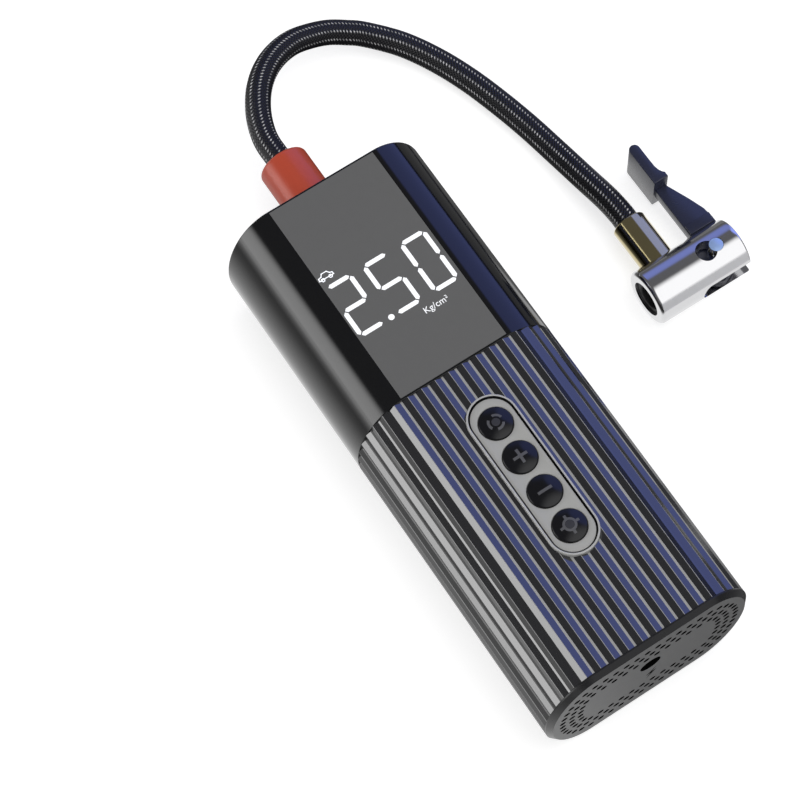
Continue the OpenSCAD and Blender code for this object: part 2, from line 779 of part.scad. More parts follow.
module motor_magnets() color("#37383b") {
  prism_x(armature_x0 - 1, armature_x1 + 1, y_motor, pump_z) difference() {
    circle(motor_r - can_t, $fn = FINE);
    circle(magnet_in, $fn = FINE);
    for (a = [0, 180]) rotate(a) translate([3, -5]) square([motor_r, 10]);
  }
}

// Shaft, three-pole stack and commutator on the motor axis.
module motor_rotor() color("#8a8c90") {
  cyl_x(shaft_r, motor_x0 + 0.5, hub_x1, y_motor, pump_z);
  prism_x(armature_x0, armature_x1, y_motor, pump_z) {
    circle(3, $fn = FINE);
    for (k = [0:2]) rotate(k * 120) {
      translate([2, -1]) square([pole_in - 1.2, 2]);
      intersection() {
        difference() {
          circle(pole_out, $fn = FINE);
          circle(pole_in, $fn = FINE);
        }
        polygon([[0, 0], [20, 16], [20, -16]]);
      }
    }
  }
  cyl_x(2.8, motor_x0 + 4.5, motor_x0 + 7.5, y_motor, pump_z);
}

module rotor_windings() color("#b5652b") {
  prism_x(armature_x0 - 1, armature_x1 + 1, y_motor, pump_z) {
    for (k = [0:2], s = [-1, 1]) rotate(k * 120) {
      translate([3.5, s * 1.9 - 0.8]) square([pole_in - 4.6, 1.6]);
    }
  }
}

// ================= Gear train =================

function inv(a) = tan(a) * 180 / PI - a;
function flank_angle(teeth, r, rho, thin) = let (rb = r * cos(pressure_angle))
  90 / teeth + inv(pressure_angle) - inv(acos(min(1, rb / rho))) - thin / r * 180 / PI;
function polar(rho, a) = rho * [cos(a), sin(a)];

// Involute teeth, the first of them centred on the angle phase.
module teeth_2d(teeth, phase) {
  r = gear_m * teeth / 2;
  root = r - dedendum;
  tip = r + addendum;
  low = max(root, r * cos(pressure_angle));
  rhos = [for (i = [0:3]) low + (tip - low) * i / 3];
  polygon([
    for (k = [0:teeth - 1]) let (c = phase + k * 360 / teeth) each concat(
      [polar(root, c - flank_angle(teeth, r, low, 0.03))],
      [for (rho = rhos) polar(rho, c - flank_angle(teeth, r, rho, 0.03))],
      [for (i = [3:-1:0]) polar(rhos[i], c + flank_angle(teeth, r, rhos[i], 0.03))],
      [polar(root, c + flank_angle(teeth, r, low, 0.03))]
    )
  ]);
}

module pinion() color("#c8a24a") difference() {
  prism_x(gear_x0 - 0.3, hub_x1 - 0.5, y_motor, pump_z) teeth_2d(pinion_teeth, 90);
  cyl_x(shaft_r, gear_x0 - 2, hub_x1 + 1, y_motor, pump_z);
}

module drive_gear() color("#e6e2d2") difference() {
  union() {
    prism_x(gear_x0, gear_x1, y_gear, pump_z) teeth_2d(gear_teeth, -90 + 180 / gear_teeth);
    cyl_x(hub_r, gear_x1 - EPS, hub_x1, y_gear, pump_z);
  }
  cyl_x(axle_r + 0.03, gear_x0 - 1, hub_x1 + 1, y_gear, pump_z);
  cyl_x(axle_head_r + GAP, gear_x0 - 1, gear_x0 + 0.1 + axle_head_t + GAP, y_gear, pump_z);
  for (k = [0:4]) rotate_about_gear(k * 72 + 36) cyl_x(2.6, gear_x0 - 1, gear_x1 + 1, y_gear + 10.5, pump_z);
}

module rotate_about_gear(a) {
  translate([0, y_gear, pump_z]) rotate([a, 0, 0]) translate([0, -y_gear, -pump_z]) children();
}

module gear_axle() color("#b7b9bd") {
  cyl_x(axle_r, gear_x0 + 0.1, plate_b_x1 + 0.6, y_gear, pump_z);
  cyl_x(axle_head_r, gear_x0 + 0.1, gear_x0 + 0.1 + axle_head_t, y_gear, pump_z);
}

// ================= Rod, piston and cylinder =================

module crank_pin() color("#b7b9bd") {
  cyl_x(pin_r, rod_x0 - 0.4, gear_x0 - GAP, y_crank, pump_z);
}

module connecting_rod() color("#c4c6c9") difference() {
  union() {
    cyl_x(rod_big_r, rod_x0, rod_x1, y_crank, pump_z);
    cyl_x(rod_small_r, rod_x0, rod_x1, y_wrist, pump_z);
    box([rod_x0, rod_x1], [y_crank, y_wrist], [pump_z - rod_w / 2, pump_z + rod_w / 2]);
  }
  cyl_x(pin_r, rod_x0 - 1, rod_x1 + 1, y_crank, pump_z);
  cyl_x(pin_r + 0.04, rod_x0 - 1, rod_x1 + 1, y_wrist, pump_z);
}

module wrist_pin() color("#b7b9bd") {
  cyl_x(pin_r, pump_x - bore_r + 1.6, pump_x + bore_r - 1.6, y_wrist, pump_z);
}

ring_y0 = y_crown - 2.4;
ring_y1 = y_crown - 1;
ring_depth = 1;

module piston() color("#d9d6cb") difference() {
  cyl_y(bore_r - SLIP, y_crown - piston_h, y_crown, pump_x, pump_z);
  difference() {
    cyl_y(bore_r + 1, ring_y0, ring_y1, pump_x, pump_z);
    cyl_y(bore_r - ring_depth, ring_y0 - 1, ring_y1 + 1, pump_x, pump_z);
  }
  box([rod_x0 - GAP, rod_x1 + GAP], [y_crown - piston_h - 1, y_wrist + rod_small_r + 0.1],
      [pump_z - 5, pump_z + 5]);
  cyl_x(pin_r, pump_x - bore_r - 1, pump_x + bore_r + 1, y_wrist, pump_z);
}

module piston_ring() color("#2c2c2e") difference() {
  cyl_y(bore_r - 0.03, ring_y0, ring_y1, pump_x, pump_z);
  cyl_y(bore_r - ring_depth, ring_y0 - 1, ring_y1 + 1, pump_x, pump_z);
}

module cylinder_barrel() color("#b4b6ba") difference() {
  cyl_y(cylinder_r, y_cyl0, y_deck, pump_x, pump_z);
  cyl_y(bore_r, y_cyl0 - 1, y_deck + 1, pump_x, pump_z);
}

module valve_plate() color("#8f9195") difference() {
  cyl_y(cylinder_r, y_deck, y_head0, pump_x, pump_z);
  cyl_y(1.5, y_deck - 1, y_head0 + 1, pump_x, pump_z);
  for (a = [60, 180, 300]) {
    cyl_y(0.6, y_deck - 1, y_head0 + 1, pump_x + 5 * cos(a), pump_z + 5 * sin(a));
  }
}

// Head over the valve plate, with the block that feeds the hose and the sensor.
module cylinder_head() color("#9fa1a5") {
  difference() {
    union() {
      cyl_y(cylinder_r, y_head0, y_head0 + head_t, pump_x, pump_z);
      box([collar_x - 5, collar_x + 4], [y_head0, y_top_in], [collar_z - 5, collar_z + 5]);
      cyl_z(1.2, collar_z + 5 - EPS, collar_z + 8, collar_x, y_head0 + 3);
    }
    cyl_y(bore_r - 2, y_head0 - 1, y_head0 + 2.4, pump_x, pump_z);
    cyl_y(barb_r, y_head0 + 2, y_top_in + 1, collar_x, collar_z);
    cyl_z(0.5, collar_z, collar_z + 9, collar_x, y_head0 + 3);
    cyl_x(1, collar_x, pump_x, y_head0 + 3, collar_z);
  }
}

sensor_w = 7;

module pressure_sensor() color("#2b2c30") difference() {
  union() {
    box([collar_x - sensor_w / 2, collar_x + sensor_w / 2],
        [y_head0 + 3 - sensor_w / 2, y_head0 + 3 + sensor_w / 2], [display_board_z0 - 5, display_board_z0]);
    cyl_z(1.2, display_board_z0 - 8, display_board_z0 - 5 + EPS, collar_x, y_head0 + 3);
  }
  cyl_z(0.5, display_board_z0 - 9, display_board_z0 - 2, collar_x, y_head0 + 3);
}

module sensor_tube() color("#e4e7ea") difference() {
  cyl_z(2.2, collar_z + 6, display_board_z0 - 5.4, collar_x, y_head0 + 3);
  cyl_z(1.2, collar_z + 5, display_board_z0 - 5, collar_x, y_head0 + 3);
}

// ================= Hose =================

// Collar with a rounded front edge, and the neck that sits in the top cap.
module hose_gland() color("#bc4a30") difference() {
  union() {
    translate([collar_x, y_top, collar_z]) rotate([-90, 0, 0]) rotate_extrude($fn = FINE) polygon(concat(
      [[0, 0], [collar_r, 0]],
      [for (a = [0:15:90]) [collar_r - 1.4 + 1.4 * cos(a), collar_len - 1.4 + 1.4 * sin(a)]],
      [[0, collar_len]]
    ));
    cyl_y(neck_r, y_top_in, y_top + EPS, collar_x, collar_z);
  }
  cyl_y(barb_r, y_top_in - 1, y_collar + 1, collar_x, collar_z);
}

module hose_fitting() color("#b9924a") difference() {
  cyl_y(barb_r, y_head0 + 4.6, y_collar, collar_x, collar_z);
  cyl_y(barb_bore, y_head0 + 4, y_collar + 1, collar_x, collar_z);
}

// A tube swept along the route: one ring of points on each of its points.
function unit(v) = v / norm(v);
function heading(path, i) = unit(path[min(i + 1, len(path) - 1)] - path[max(i - 1, 0)]);
function ring(path, i, r, sides) = let (
  t = heading(path, i),
  side = unit(cross([0, 0, 1], t)),
  up = cross(t, side)
) [for (k = [0:sides - 1]) path[i] + r * (cos(360 * k / sides) * side + sin(360 * k / sides) * up)];

module swept_tube(path, r, sides) {
  n = len(path);
  points = [for (i = [0:n - 1]) each ring(path, i, r, sides)];
  walls = [
    for (i = [0:n - 2], k = [0:sides - 1], half = [0, 1]) let (
      a = i * sides + k,
      b = i * sides + (k + 1) % sides
    ) half == 0 ? [a, b, a + sides] : [b, b + sides, a + sides]
  ];
  start = [for (k = [1:sides - 2]) [0, k + 1, k]];
  end = [for (k = [1:sides - 2]) [(n - 1) * sides, (n - 1) * sides + k, (n - 1) * sides + k + 1]];
  polyhedron(points, concat(walls, start, end));
}

module hose() color("#1b1b1f") {
  swept_tube(hose_route, hose_r, HOSE_SIDES);
}

// ================= Chuck =================

module hose_ferrule() color("#b08c45") difference() {
  cyl_y(ferrule_r, ferrule_y0, hose_end.y, port_x, chuck_z);
  cyl_y(barb_r, ferrule_y0 - 1, hose_end.y + 1, port_x, chuck_z);
}

module chuck_nipple() color("#b9924a") difference() {
  cyl_y(barb_r, chuck_y + plunger_r + 0.6, hose_end.y, port_x, chuck_z);
  cyl_y(barb_bore, chuck_y, hose_end.y + 1, port_x, chuck_z);
}

// Turned body: mouth and plunger bores, lever slot, peep hole and hose boss.
module chuck_body() color("#c9cacc") difference() {
  union() {
    translate([chuck_x0, chuck_y, chuck_z]) rotate([0, 90, 0]) rotate_extrude($fn = FINE) polygon([
      [0, 0], [chuck_r - 0.6, 0], [chuck_r, 0.6],
      [chuck_r, chuck_len - 0.5], [chuck_r - 0.5, chuck_len], [0, chuck_len]
    ]);
    cyl_y(ferrule_r, chuck_y, ferrule_y0, port_x, chuck_z);
  }
  cyl_x(mouth_r, chuck_x0 - 1, mouth_x1, chuck_y, chuck_z);
  cyl_x(plunger_r + SLIP, mouth_x1 - 1, slot_x0 + 1, chuck_y, chuck_z);
  box([slot_x0, chuck_x1 + 1], [chuck_y - chuck_r - 1, chuck_y + chuck_r + 1],
      [chuck_z - slot_half, chuck_z + slot_half]);
  cyl_x(plunger_r + SLIP, slot_x0, plunger_x1 + 0.2, chuck_y, chuck_z);
  cyl_z(peep_r, chuck_z, 2 * chuck_z + 1, peep_x, chuck_y);
  cyl_z(lever_pin_r, -1, 2 * chuck_z + 1, pivot_x, chuck_y);
  cyl_y(barb_r, chuck_y, ferrule_y0 + 1, port_x, chuck_z);
}

module chuck_seal() color("#141416") difference() {
  cyl_x(mouth_r, seal_x0, seal_x1, chuck_y, chuck_z);
  cyl_x(seal_r, seal_x0 - 1, seal_x1 + 1, chuck_y, chuck_z);
}

// Brass plunger: flange behind the seal, air groove at the hose port, tail at the cam.
module chuck_plunger() color("#b9924a") difference() {
  union() {
    cyl_x(mouth_r - 0.2, flange_x0, flange_x1, chuck_y, chuck_z);
    cyl_x(plunger_r, flange_x1 - EPS, plunger_x1, chuck_y, chuck_z);
  }
  difference() {
    cyl_x(plunger_r + 1, flange_x1 + 0.4, port_x + 3.4, chuck_y, chuck_z);
    cyl_x(2.4, flange_x1, port_x + 4, chuck_y, chuck_z);
  }
  cyl_x(0.8, flange_x0 - 1, port_x - 0.5, chuck_y, chuck_z);
  for (a = [30, 150, 270]) {
    cyl_x(0.5, flange_x0 - 1, port_x, chuck_y + 2.4 * cos(a), chuck_z + 2.4 * sin(a));
  }
}

module chuck_depressor() color("#b7b9bd") {
  cyl_x(0.8, flange_x0 - 1.2, port_x - 0.5, chuck_y, chuck_z);
}

module lever_pin() color("#c6cfdd") {
  cyl_z(lever_pin_r, 0.3, 2 * chuck_z - 0.1, pivot_x, chuck_y);
}

// Cam edge as a spiral: its radius grows by the plunger travel over a quarter turn.
cam_edge = [for (a = [0:6:90]) polar(cam_r + grip_travel * a / 90, 180 + a)];
arm_edge = [
  [5, -4.2], [6.7, -1], [6.9, 3], [6.9, 10.5], [6.4, 14.2], [4.7, 19], [1.4, paddle_y0],
  [-2.3, paddle_y0], [-2.3, 4.6], [-4.4, 3]
];

module chuck_lever() color("#22253a") translate([pivot_x, chuck_y, 0]) difference() {
  union() {
    translate([0, 0, chuck_z - lever_t / 2]) linear_extrude(lever_t) polygon(concat(cam_edge, arm_edge));
    box([paddle_x0, paddle_x0 + paddle_t], [paddle_y0, paddle_y1 - paddle_t / 2], [paddle_z0, paddle_z1]);
    cyl_z(paddle_t / 2, paddle_z0, paddle_z1, paddle_x0 + paddle_t / 2, paddle_y1 - paddle_t / 2);
    box([paddle_x0, 1.2], [paddle_y0 - 0.3, paddle_y0 + 1.8], [paddle_z0, paddle_z1]);
  }
  cyl_z(lever_pin_r + SLIP, -1, 2 * chuck_z, 0, 0);
}

// ================= Nodes =================

head_shell();
display_lens();
top_cap();
lamp_lens();
lamp_board();
ribbed_sleeve();
bottom_cap();
button_bezel();
button_panel();
button_mode();
button_plus();
button_minus();
button_light();
chassis();
battery_cradle();
battery_cells();
cell_tabs();
battery_leads();
main_board();
tact_switches();
board_components();
charge_jack();
display_board();
display_module();
display_digits();
board_screws();
pump_frame();
frame_screws();
motor_can();
motor_end_bell();
motor_magnets();
motor_bushes();
motor_screws();
motor_rotor();
rotor_windings();
pinion();
gear_axle();
drive_gear();
crank_pin();
connecting_rod();
wrist_pin();
piston();
piston_ring();
cylinder_barrel();  // cylinder
valve_plate();
cylinder_head();
pressure_sensor();
sensor_tube();
hose_gland();
hose_fitting();
hose();
hose_ferrule();
chuck_nipple();
chuck_body();
chuck_seal();
chuck_plunger();
chuck_depressor();
lever_pin();
chuck_lever();
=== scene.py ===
from math import cos, pi, radians, sin, sqrt

import bmesh
import bpy
from mathutils import Matrix, Vector


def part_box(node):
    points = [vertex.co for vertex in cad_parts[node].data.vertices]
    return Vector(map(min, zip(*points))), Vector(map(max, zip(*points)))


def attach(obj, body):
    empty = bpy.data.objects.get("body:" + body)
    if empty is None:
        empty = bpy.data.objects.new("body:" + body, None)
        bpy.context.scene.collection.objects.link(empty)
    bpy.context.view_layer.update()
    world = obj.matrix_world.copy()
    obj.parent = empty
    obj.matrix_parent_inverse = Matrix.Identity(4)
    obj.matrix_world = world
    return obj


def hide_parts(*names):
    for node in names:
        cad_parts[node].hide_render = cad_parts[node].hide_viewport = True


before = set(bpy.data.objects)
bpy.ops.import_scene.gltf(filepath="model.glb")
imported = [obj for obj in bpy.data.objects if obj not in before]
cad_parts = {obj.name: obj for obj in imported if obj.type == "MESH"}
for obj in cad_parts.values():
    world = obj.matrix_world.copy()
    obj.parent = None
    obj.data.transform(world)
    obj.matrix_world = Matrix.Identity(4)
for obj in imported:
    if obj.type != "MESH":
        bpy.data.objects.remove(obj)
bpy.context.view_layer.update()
scene = bpy.context.scene
scene.view_settings.view_transform = "Standard"

# ---- Camera ----
# A long lens above the end cap looks down along the casing, which lies on its back.
# Lengths in this script are millimetres; MM turns them into the frame's metres.
MM = 0.001
CAMERA_AT = (-150.65, -233.24, 716.10)
CAMERA_RIGHT = (0.8376278, -0.5451634, -0.0343001)
CAMERA_UP = (0.5145181, 0.7663375, 0.3847050)
SENSOR_WIDTH = 36
FOCAL_LENGTH = 119.4

camera = bpy.data.objects.new("camera", bpy.data.cameras.new("camera"))
camera.data.sensor_width = SENSOR_WIDTH
camera.data.lens = FOCAL_LENGTH
camera_back = Vector(CAMERA_RIGHT).cross(Vector(CAMERA_UP))
camera_turn = Matrix((CAMERA_RIGHT, CAMERA_UP, camera_back)).transposed()
camera.matrix_world = Matrix.Translation(Vector(CAMERA_AT) * MM) @ camera_turn.to_4x4()
scene.collection.objects.link(camera)
scene.camera = camera

# ---- Hose ----
# Rubber air hose in a tight braid of black nylon yarn, with pale glints of light painted on in
# slanted rows.
# It is swaged on a brass barb at each end and lies loose on the ground in between.
HOSE_D = 7.8
HOSE_SIDES = 40
YARN_PITCH = 1.13
YARNS_ROUND = 22
GLINT_ROWS = 9
HOSE_ROUTE = [
    (0, 106, 21), (0, 114, 21), (1.4, 120, 21), (4, 125.8, 20.9), (7.9, 131.5, 20.3),
    (12.9, 136.3, 19.2), (18.8, 139.9, 17.4), (25.3, 142, 15.2), (31.5, 142.3, 12.8),
    (37.7, 141.4, 10.5), (43, 139.2, 8.5), (47.9, 136.2, 6.9), (55.9, 128, 5),
    (61.9, 117.8, 4.1), (66.3, 106.5, 4), (69.6, 94.8, 4), (72.3, 82.9, 4),
    (74.2, 70.7, 4.7), (75.5, 58, 6.9), (76.6, 48, 8.5), (77.1, 41.5, 8.8), (77.1, 37.2, 8.8),
]


def smooth_route(points, steps):
    """A Catmull-Rom curve through the points, with steps parts between two of them."""
    route = [Vector(p) for p in points]
    route = [2 * route[0] - route[1]] + route + [2 * route[-1] - route[-2]]
    fine = []
    for a, b, c, d in zip(route, route[1:], route[2:], route[3:]):
        for step in range(steps):
            t = step / steps
            fine.append(0.5 * (
                2 * b + (c - a) * t + (2 * a - 5 * b + 4 * c - d) * t * t
                + (3 * b - a - 3 * c + d) * t * t * t
            ))
    return fine + [route[-2]]


def hose_mesh(path, radius, sides):
    """A tube along the path, with U along its length and V round it, both in millimetres."""
    bm = bmesh.new()
    uv = bm.loops.layers.uv.new("braid")
    rings = []
    side = Vector((1, 0, 0))
    run = 0
    for i, point in enumerate(path):
        ahead = (path[min(i + 1, len(path) - 1)] - path[max(i - 1, 0)]).normalized()
        side = (side - ahead * side.dot(ahead)).normalized()
        up = ahead.cross(side)
        run += (point - path[i - 1]).length if i else 0
        turns = [2 * pi * k / sides for k in range(sides)]
        ring = [bm.verts.new(point + radius * (cos(a) * side + sin(a) * up)) for a in turns]
        rings.append((run, ring))
    for (run_a, a), (run_b, b) in zip(rings, rings[1:]):
        for k in range(sides):
            following = (k + 1) % sides
            wall = bm.faces.new((a[k], a[following], b[following], b[k]))
            wall.smooth = True
            places = ((run_a, k), (run_a, k + 1), (run_b, k + 1), (run_b, k))
            for loop, (u, v) in zip(wall.loops, places):
                loop[uv].uv = (u, v / sides * 2 * pi * radius)
    bm.faces.new(list(reversed(rings[0][1])))
    bm.faces.new(rings[-1][1])
    return bm


def feed(tree, socket, value):
    """Feeds a socket with a constant or with another node's output."""
    if isinstance(value, bpy.types.NodeSocket):
        tree.links.new(value, socket)
    else:
        socket.default_value = value


def add_node(tree, kind, inputs=(), **settings):
    """A shader node with its settings; inputs are (socket, constant or another node's output)."""
    made = tree.nodes.new("ShaderNode" + kind)
    for key, value in settings.items():
        setattr(made, key, value)
    for socket, value in inputs:
        feed(tree, made.inputs[socket], value)
    return made


def spread(tree, value, reach, onto=(0.0, 1.0), smooth=False):
    """The value, taken over from one reach onto another."""
    return add_node(tree, "MapRange", [
        ("Value", value), ("From Min", reach[0]), ("From Max", reach[1]),
        ("To Min", onto[0]), ("To Max", onto[1]),
    ], interpolation_type="SMOOTHSTEP" if smooth else "LINEAR").outputs[0]


def mixed(tree, factor, low, high):
    """A colour that runs from low to high with the factor."""
    return add_node(
        tree, "Mix", [("Factor", factor), ("A", low), ("B", high)], data_type="RGBA",
    ).outputs["Result"]


class Finish:
    """A procedural finish: Principled shader, Object coordinates and helpers for its texture."""

    def __init__(self, name, colour, roughness, metallic=0.0, coat=0.0, ior=1.5):
        self.material = bpy.data.materials.new(name)
        self.material.use_nodes = True
        self.tree = self.material.node_tree
        self.shader = self.tree.nodes["Principled BSDF"]
        self.set("Base Color", (*colour, 1))
        self.set("Roughness", roughness)
        self.set("Metallic", metallic)
        self.set("Coat Weight", coat)
        self.set("IOR", ior)
        self.set("Coat Roughness", 0.04)
        self.colour, self.roughness = colour, roughness

    def set(self, socket, value):
        feed(self.tree, self.shader.inputs[socket], value)

    def glow(self, colour, strength):
        """Light that the surface gives off."""
        self.set("Emission Color", (*colour, 1))
        self.set("Emission Strength", strength)

    def node(self, kind, inputs=(), **settings):
        return add_node(self.tree, kind, inputs, **settings)

    def maths(self, operation, *values):
        return self.node("Math", list(enumerate(values)), operation=operation).outputs[0]

    def noise(self, size, stretch=(1, 1, 1)):
        """Noise from 0 to 1, its grain about size millimetres, longer where stretch is over 1."""
        coords = self.node("TexCoord").outputs["Object"]
        scale = tuple(1 / s for s in stretch)
        mapped = self.node("Mapping", [("Vector", coords), ("Scale", scale)])
        return self.node("TexNoise", [
            ("Vector", mapped.outputs[0]), ("Scale", 1 / (size * MM)), ("Detail", 3.0),
        ]).outputs["Fac"]

    def paint(self, factor, low, high):
        """Base colour that runs from low to high with the factor."""
        self.set("Base Color", mixed(self.tree, factor, (*low, 1), (*high, 1)))

    def polish(self, factor, low, high):
        """Roughness that runs from low to high with the factor."""
        self.set("Roughness", spread(self.tree, factor, (0, 1), (low, high)))

    def relief(self, height, depth):
        """Bump of the height, where 1 stands depth millimetres proud."""
        bump = self.node("Bump", [("Height", height), ("Distance", depth * MM)])
        self.set("Normal", bump.outputs[0])

    def grained(self, size, tint=0.1, wear=0.04, depth=0.01, stretch=(1, 1, 1)):
        """The usual surface: a fine grain that changes colour, polish and height a little."""
        grain = self.noise(size, stretch)
        darker, lighter = ([c * share for c in self.colour] for share in (1 - tint, 1 + tint))
        self.paint(grain, darker, lighter)
        self.polish(self.noise(size * 9, stretch), self.roughness - wear, self.roughness + wear)
        self.relief(grain, depth)
        return self.material


def placed(name, mesh):
    """An object in the scene that shows a mesh."""
    made = bpy.data.objects.new(name, mesh)
    scene.collection.objects.link(made)
    return made


def mesh_in_metres(name, bm):
    """The mesh of a bmesh given in millimetres."""
    bmesh.ops.scale(bm, vec=(MM, MM, MM), verts=bm.verts)
    mesh = bpy.data.meshes.new(name)
    bm.to_mesh(mesh)
    bm.free()
    return mesh


def finished_piece(name, bm, material, body="casing", stands_for=(), soft_below=35):
    """A piece shaded soft below an angle, in its material and riding on its body."""
    mesh = mesh_in_metres(name, bm)
    mesh.shade_smooth()
    mesh.set_sharp_from_angle(angle=radians(soft_below))
    mesh.materials.append(material)
    piece = placed(name, mesh)
    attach(piece, body)
    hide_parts(*stands_for)
    return piece


def dress(node_name, material):
    """Gives a CAD solid that shows as it is its material."""
    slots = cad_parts[node_name].data.materials
    slots.clear()
    slots.append(material)


def box_of(node_name):
    """The two corners of a CAD node's box, in millimetres."""
    return [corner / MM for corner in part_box(node_name)]


def braided_nylon():
    """Two sets of black yarns cross; a pale painted glint of light comes up as a slanted spot in
    each row.
    """
    yarn = Finish("braided_nylon", (0.008, 0.008, 0.009), 0.3, ior=1.38)
    uv = yarn.node("UVMap", uv_map="braid")
    split = yarn.node("SeparateXYZ", [("Vector", uv.outputs[0])])
    along = yarn.maths("DIVIDE", split.outputs[0], YARN_PITCH)
    around = yarn.maths("DIVIDE", split.outputs[1], pi * HOSE_D / YARNS_ROUND)
    # Yarn coordinates: one set runs up to the right, the other up to the left.
    left = yarn.maths("MULTIPLY", yarn.maths("ADD", along, around), pi)
    right = yarn.maths("MULTIPLY", yarn.maths("SUBTRACT", along, around), pi)
    weave = yarn.maths("MULTIPLY", yarn.maths("SINE", left), yarn.maths("SINE", right))
    height = yarn.maths("ABSOLUTE", weave)
    # Glint rows: how far a point is from the middle of its row and from the next painted glint
    # along it.
    row = yarn.maths("DIVIDE", split.outputs[1], pi * HOSE_D / GLINT_ROWS)
    off_row = yarn.maths("PINGPONG", row, 0.5)
    slant = yarn.maths("MULTIPLY_ADD", row, -1.1, along)
    off_glint = yarn.maths("PINGPONG", slant, 0.5)
    nearness = yarn.maths(
        "ADD", yarn.maths("MULTIPLY", off_row, 1.5), yarn.maths("MULTIPLY", off_glint, 1.05))
    glint_paint = spread(yarn.tree, nearness, (0.16, 0.36), (1.0, 0.0), smooth=True)
    uneven = spread(yarn.tree, yarn.noise(3.5), (0.3, 0.7), (0.25, 1.0))
    glint_paint = yarn.maths("MULTIPLY", glint_paint, uneven)
    # Painted highlight: the pale spots are glints of light painted into the black braid's base
    # colour.
    yarn.paint(glint_paint, (0.006, 0.006, 0.008), (0.80, 0.80, 0.82))
    yarn.polish(glint_paint, 0.30, 0.5)
    yarn.relief(yarn.maths("ADD", height, yarn.maths("MULTIPLY", glint_paint, 0.6)), 0.16)
    return yarn.material


hose_path = smooth_route(HOSE_ROUTE, 24)
hose = finished_piece(
    "air_hose", hose_mesh(hose_path, HOSE_D / 2, HOSE_SIDES), braided_nylon(),
    stands_for=["hose"],
)

# ---- Strain relief collar ----
# Moulded in red-orange rubber-like plastic with a satin skin and a rolled front lip.
# Its neck is pushed through the top cap and holds the hose's brass barb.
COLLAR_D = 15.5
COLLAR_LIP = 1.4
COLLAR_NECK_R = 5.85
BARB_HOLE_R = 2.0
TURNED_STEPS = 96


def lathe(bm, profile, at, axis, steps=TURNED_STEPS):
    """Spins a profile of (radius, place along the axis) round X, Y or Z through a point."""
    across = Vector((0, 0, 1)) if axis != "Z" else Vector((1, 0, 0))
    along = {"X": Vector((1, 0, 0)), "Y": Vector((0, 1, 0)), "Z": Vector((0, 0, 1))}[axis]
    base = Vector(at) - along * Vector(at).dot(along)
    points = [bm.verts.new(base + across * r + along * run) for r, run in profile]
    edges = [bm.edges.new(pair) for pair in zip(points, points[1:])]
    bmesh.ops.spin(
        bm, geom=points + edges, cent=base, axis=along, angle=2 * pi, steps=steps, use_merge=True,
    )
    bmesh.ops.remove_doubles(bm, verts=bm.verts, dist=1e-4)
    bmesh.ops.recalc_face_normals(bm, faces=bm.faces)
    return bm


def rounded(corner_r, corner_run, radius, turn_from, turn_to, steps=6):
    """Points of an arc round (corner_r, corner_run), for a lathe profile; angles in degrees."""
    turns = [radians(turn_from + (turn_to - turn_from) * k / steps) for k in range(steps + 1)]
    return [(corner_r + radius * cos(a), corner_run + radius * sin(a)) for a in turns]


collar_low, collar_high = box_of("hose_gland")
collar_y0 = box_of("head_shell")[1].y
collar_y1 = collar_high.y
collar_at = (0, 0, (collar_low.z + collar_high.z) / 2)
collar_r = COLLAR_D / 2
collar_rubber = Finish("collar_rubber", (0.50, 0.066, 0.030), 0.34).grained(
    0.5, tint=0.06, depth=0.008)
collar_profile = [
    (BARB_HOLE_R, collar_low.y), (COLLAR_NECK_R, collar_low.y), (COLLAR_NECK_R, collar_y0 - 0.01),
    (collar_r - 0.35, collar_y0 + 0.02),
    (collar_r - 0.1, collar_y0 + 0.1), (collar_r, collar_y0 + 0.35),
    *rounded(collar_r - COLLAR_LIP, collar_y1 - COLLAR_LIP, COLLAR_LIP, 0, 90),
    (HOSE_D / 2 + 0.25, collar_y1), (HOSE_D / 2 + 0.05, collar_y1 - 0.25),
    (BARB_HOLE_R, collar_y1 - 0.3), (BARB_HOLE_R, collar_low.y),
]
finished_piece(
    "strain_relief", lathe(bmesh.new(), collar_profile, collar_at, "Y"), collar_rubber,
    stands_for=["hose_gland"],
)
turned_brass = Finish("turned_brass", (0.52, 0.44, 0.22), 0.12, metallic=1.0, coat=0.8).grained(
    0.12, tint=0.10, wear=0.03, depth=0.0008, stretch=(1, 9, 1))
dress("hose_fitting", turned_brass)

# ---- Brass ferrule and barb of the chuck ----
# A short turned brass sleeve, swaged over the end of the hose on its barb.
# The wall is plain, and its rim at the hose is rounded over.
FERRULE_ROUND = 0.6
ferrule_low, ferrule_high = box_of("hose_ferrule")
ferrule_at = (ferrule_low + ferrule_high) / 2
ferrule_r = (ferrule_high.x - ferrule_low.x) / 2
ferrule_profile = [
    (BARB_HOLE_R, ferrule_low.y), (ferrule_r, ferrule_low.y),
    (ferrule_r, ferrule_high.y - FERRULE_ROUND),
    *rounded(ferrule_r - FERRULE_ROUND, ferrule_high.y - FERRULE_ROUND, FERRULE_ROUND, 10, 90, 4),
    (HOSE_D / 2 + 0.2, ferrule_high.y), (HOSE_D / 2 + 0.05, ferrule_high.y - 0.3),
    (BARB_HOLE_R, ferrule_high.y - 0.3), (BARB_HOLE_R, ferrule_low.y),
]
ferrule = finished_piece(
    "brass_ferrule", lathe(bmesh.new(), ferrule_profile, ferrule_at, "Y"), turned_brass,
    stands_for=["hose_ferrule"],
)
dress("chuck_nipple", turned_brass)

# ---- Chuck body ----
# Turned from brass bar and chrome plated: a rounded nose, the hose boss on its side, a slot
# for the lever, a peep hole on top and the bore for the lever pin.
NOSE_ROUND = 1.3
MOUTH_R = 5.6
PLUNGER_BORE_R = 4.2
SLOT_HALF = 3.0
SLOT_FROM = 17.6
PEEP_AT = 20.8
PEEP_R = 3.25
PIVOT_AT = 24.3
PIN_R = 2.2
REAR_ROUND = 0.6
WALL_FROM = 3
WALL_STEP = 0.9
PAST = 12


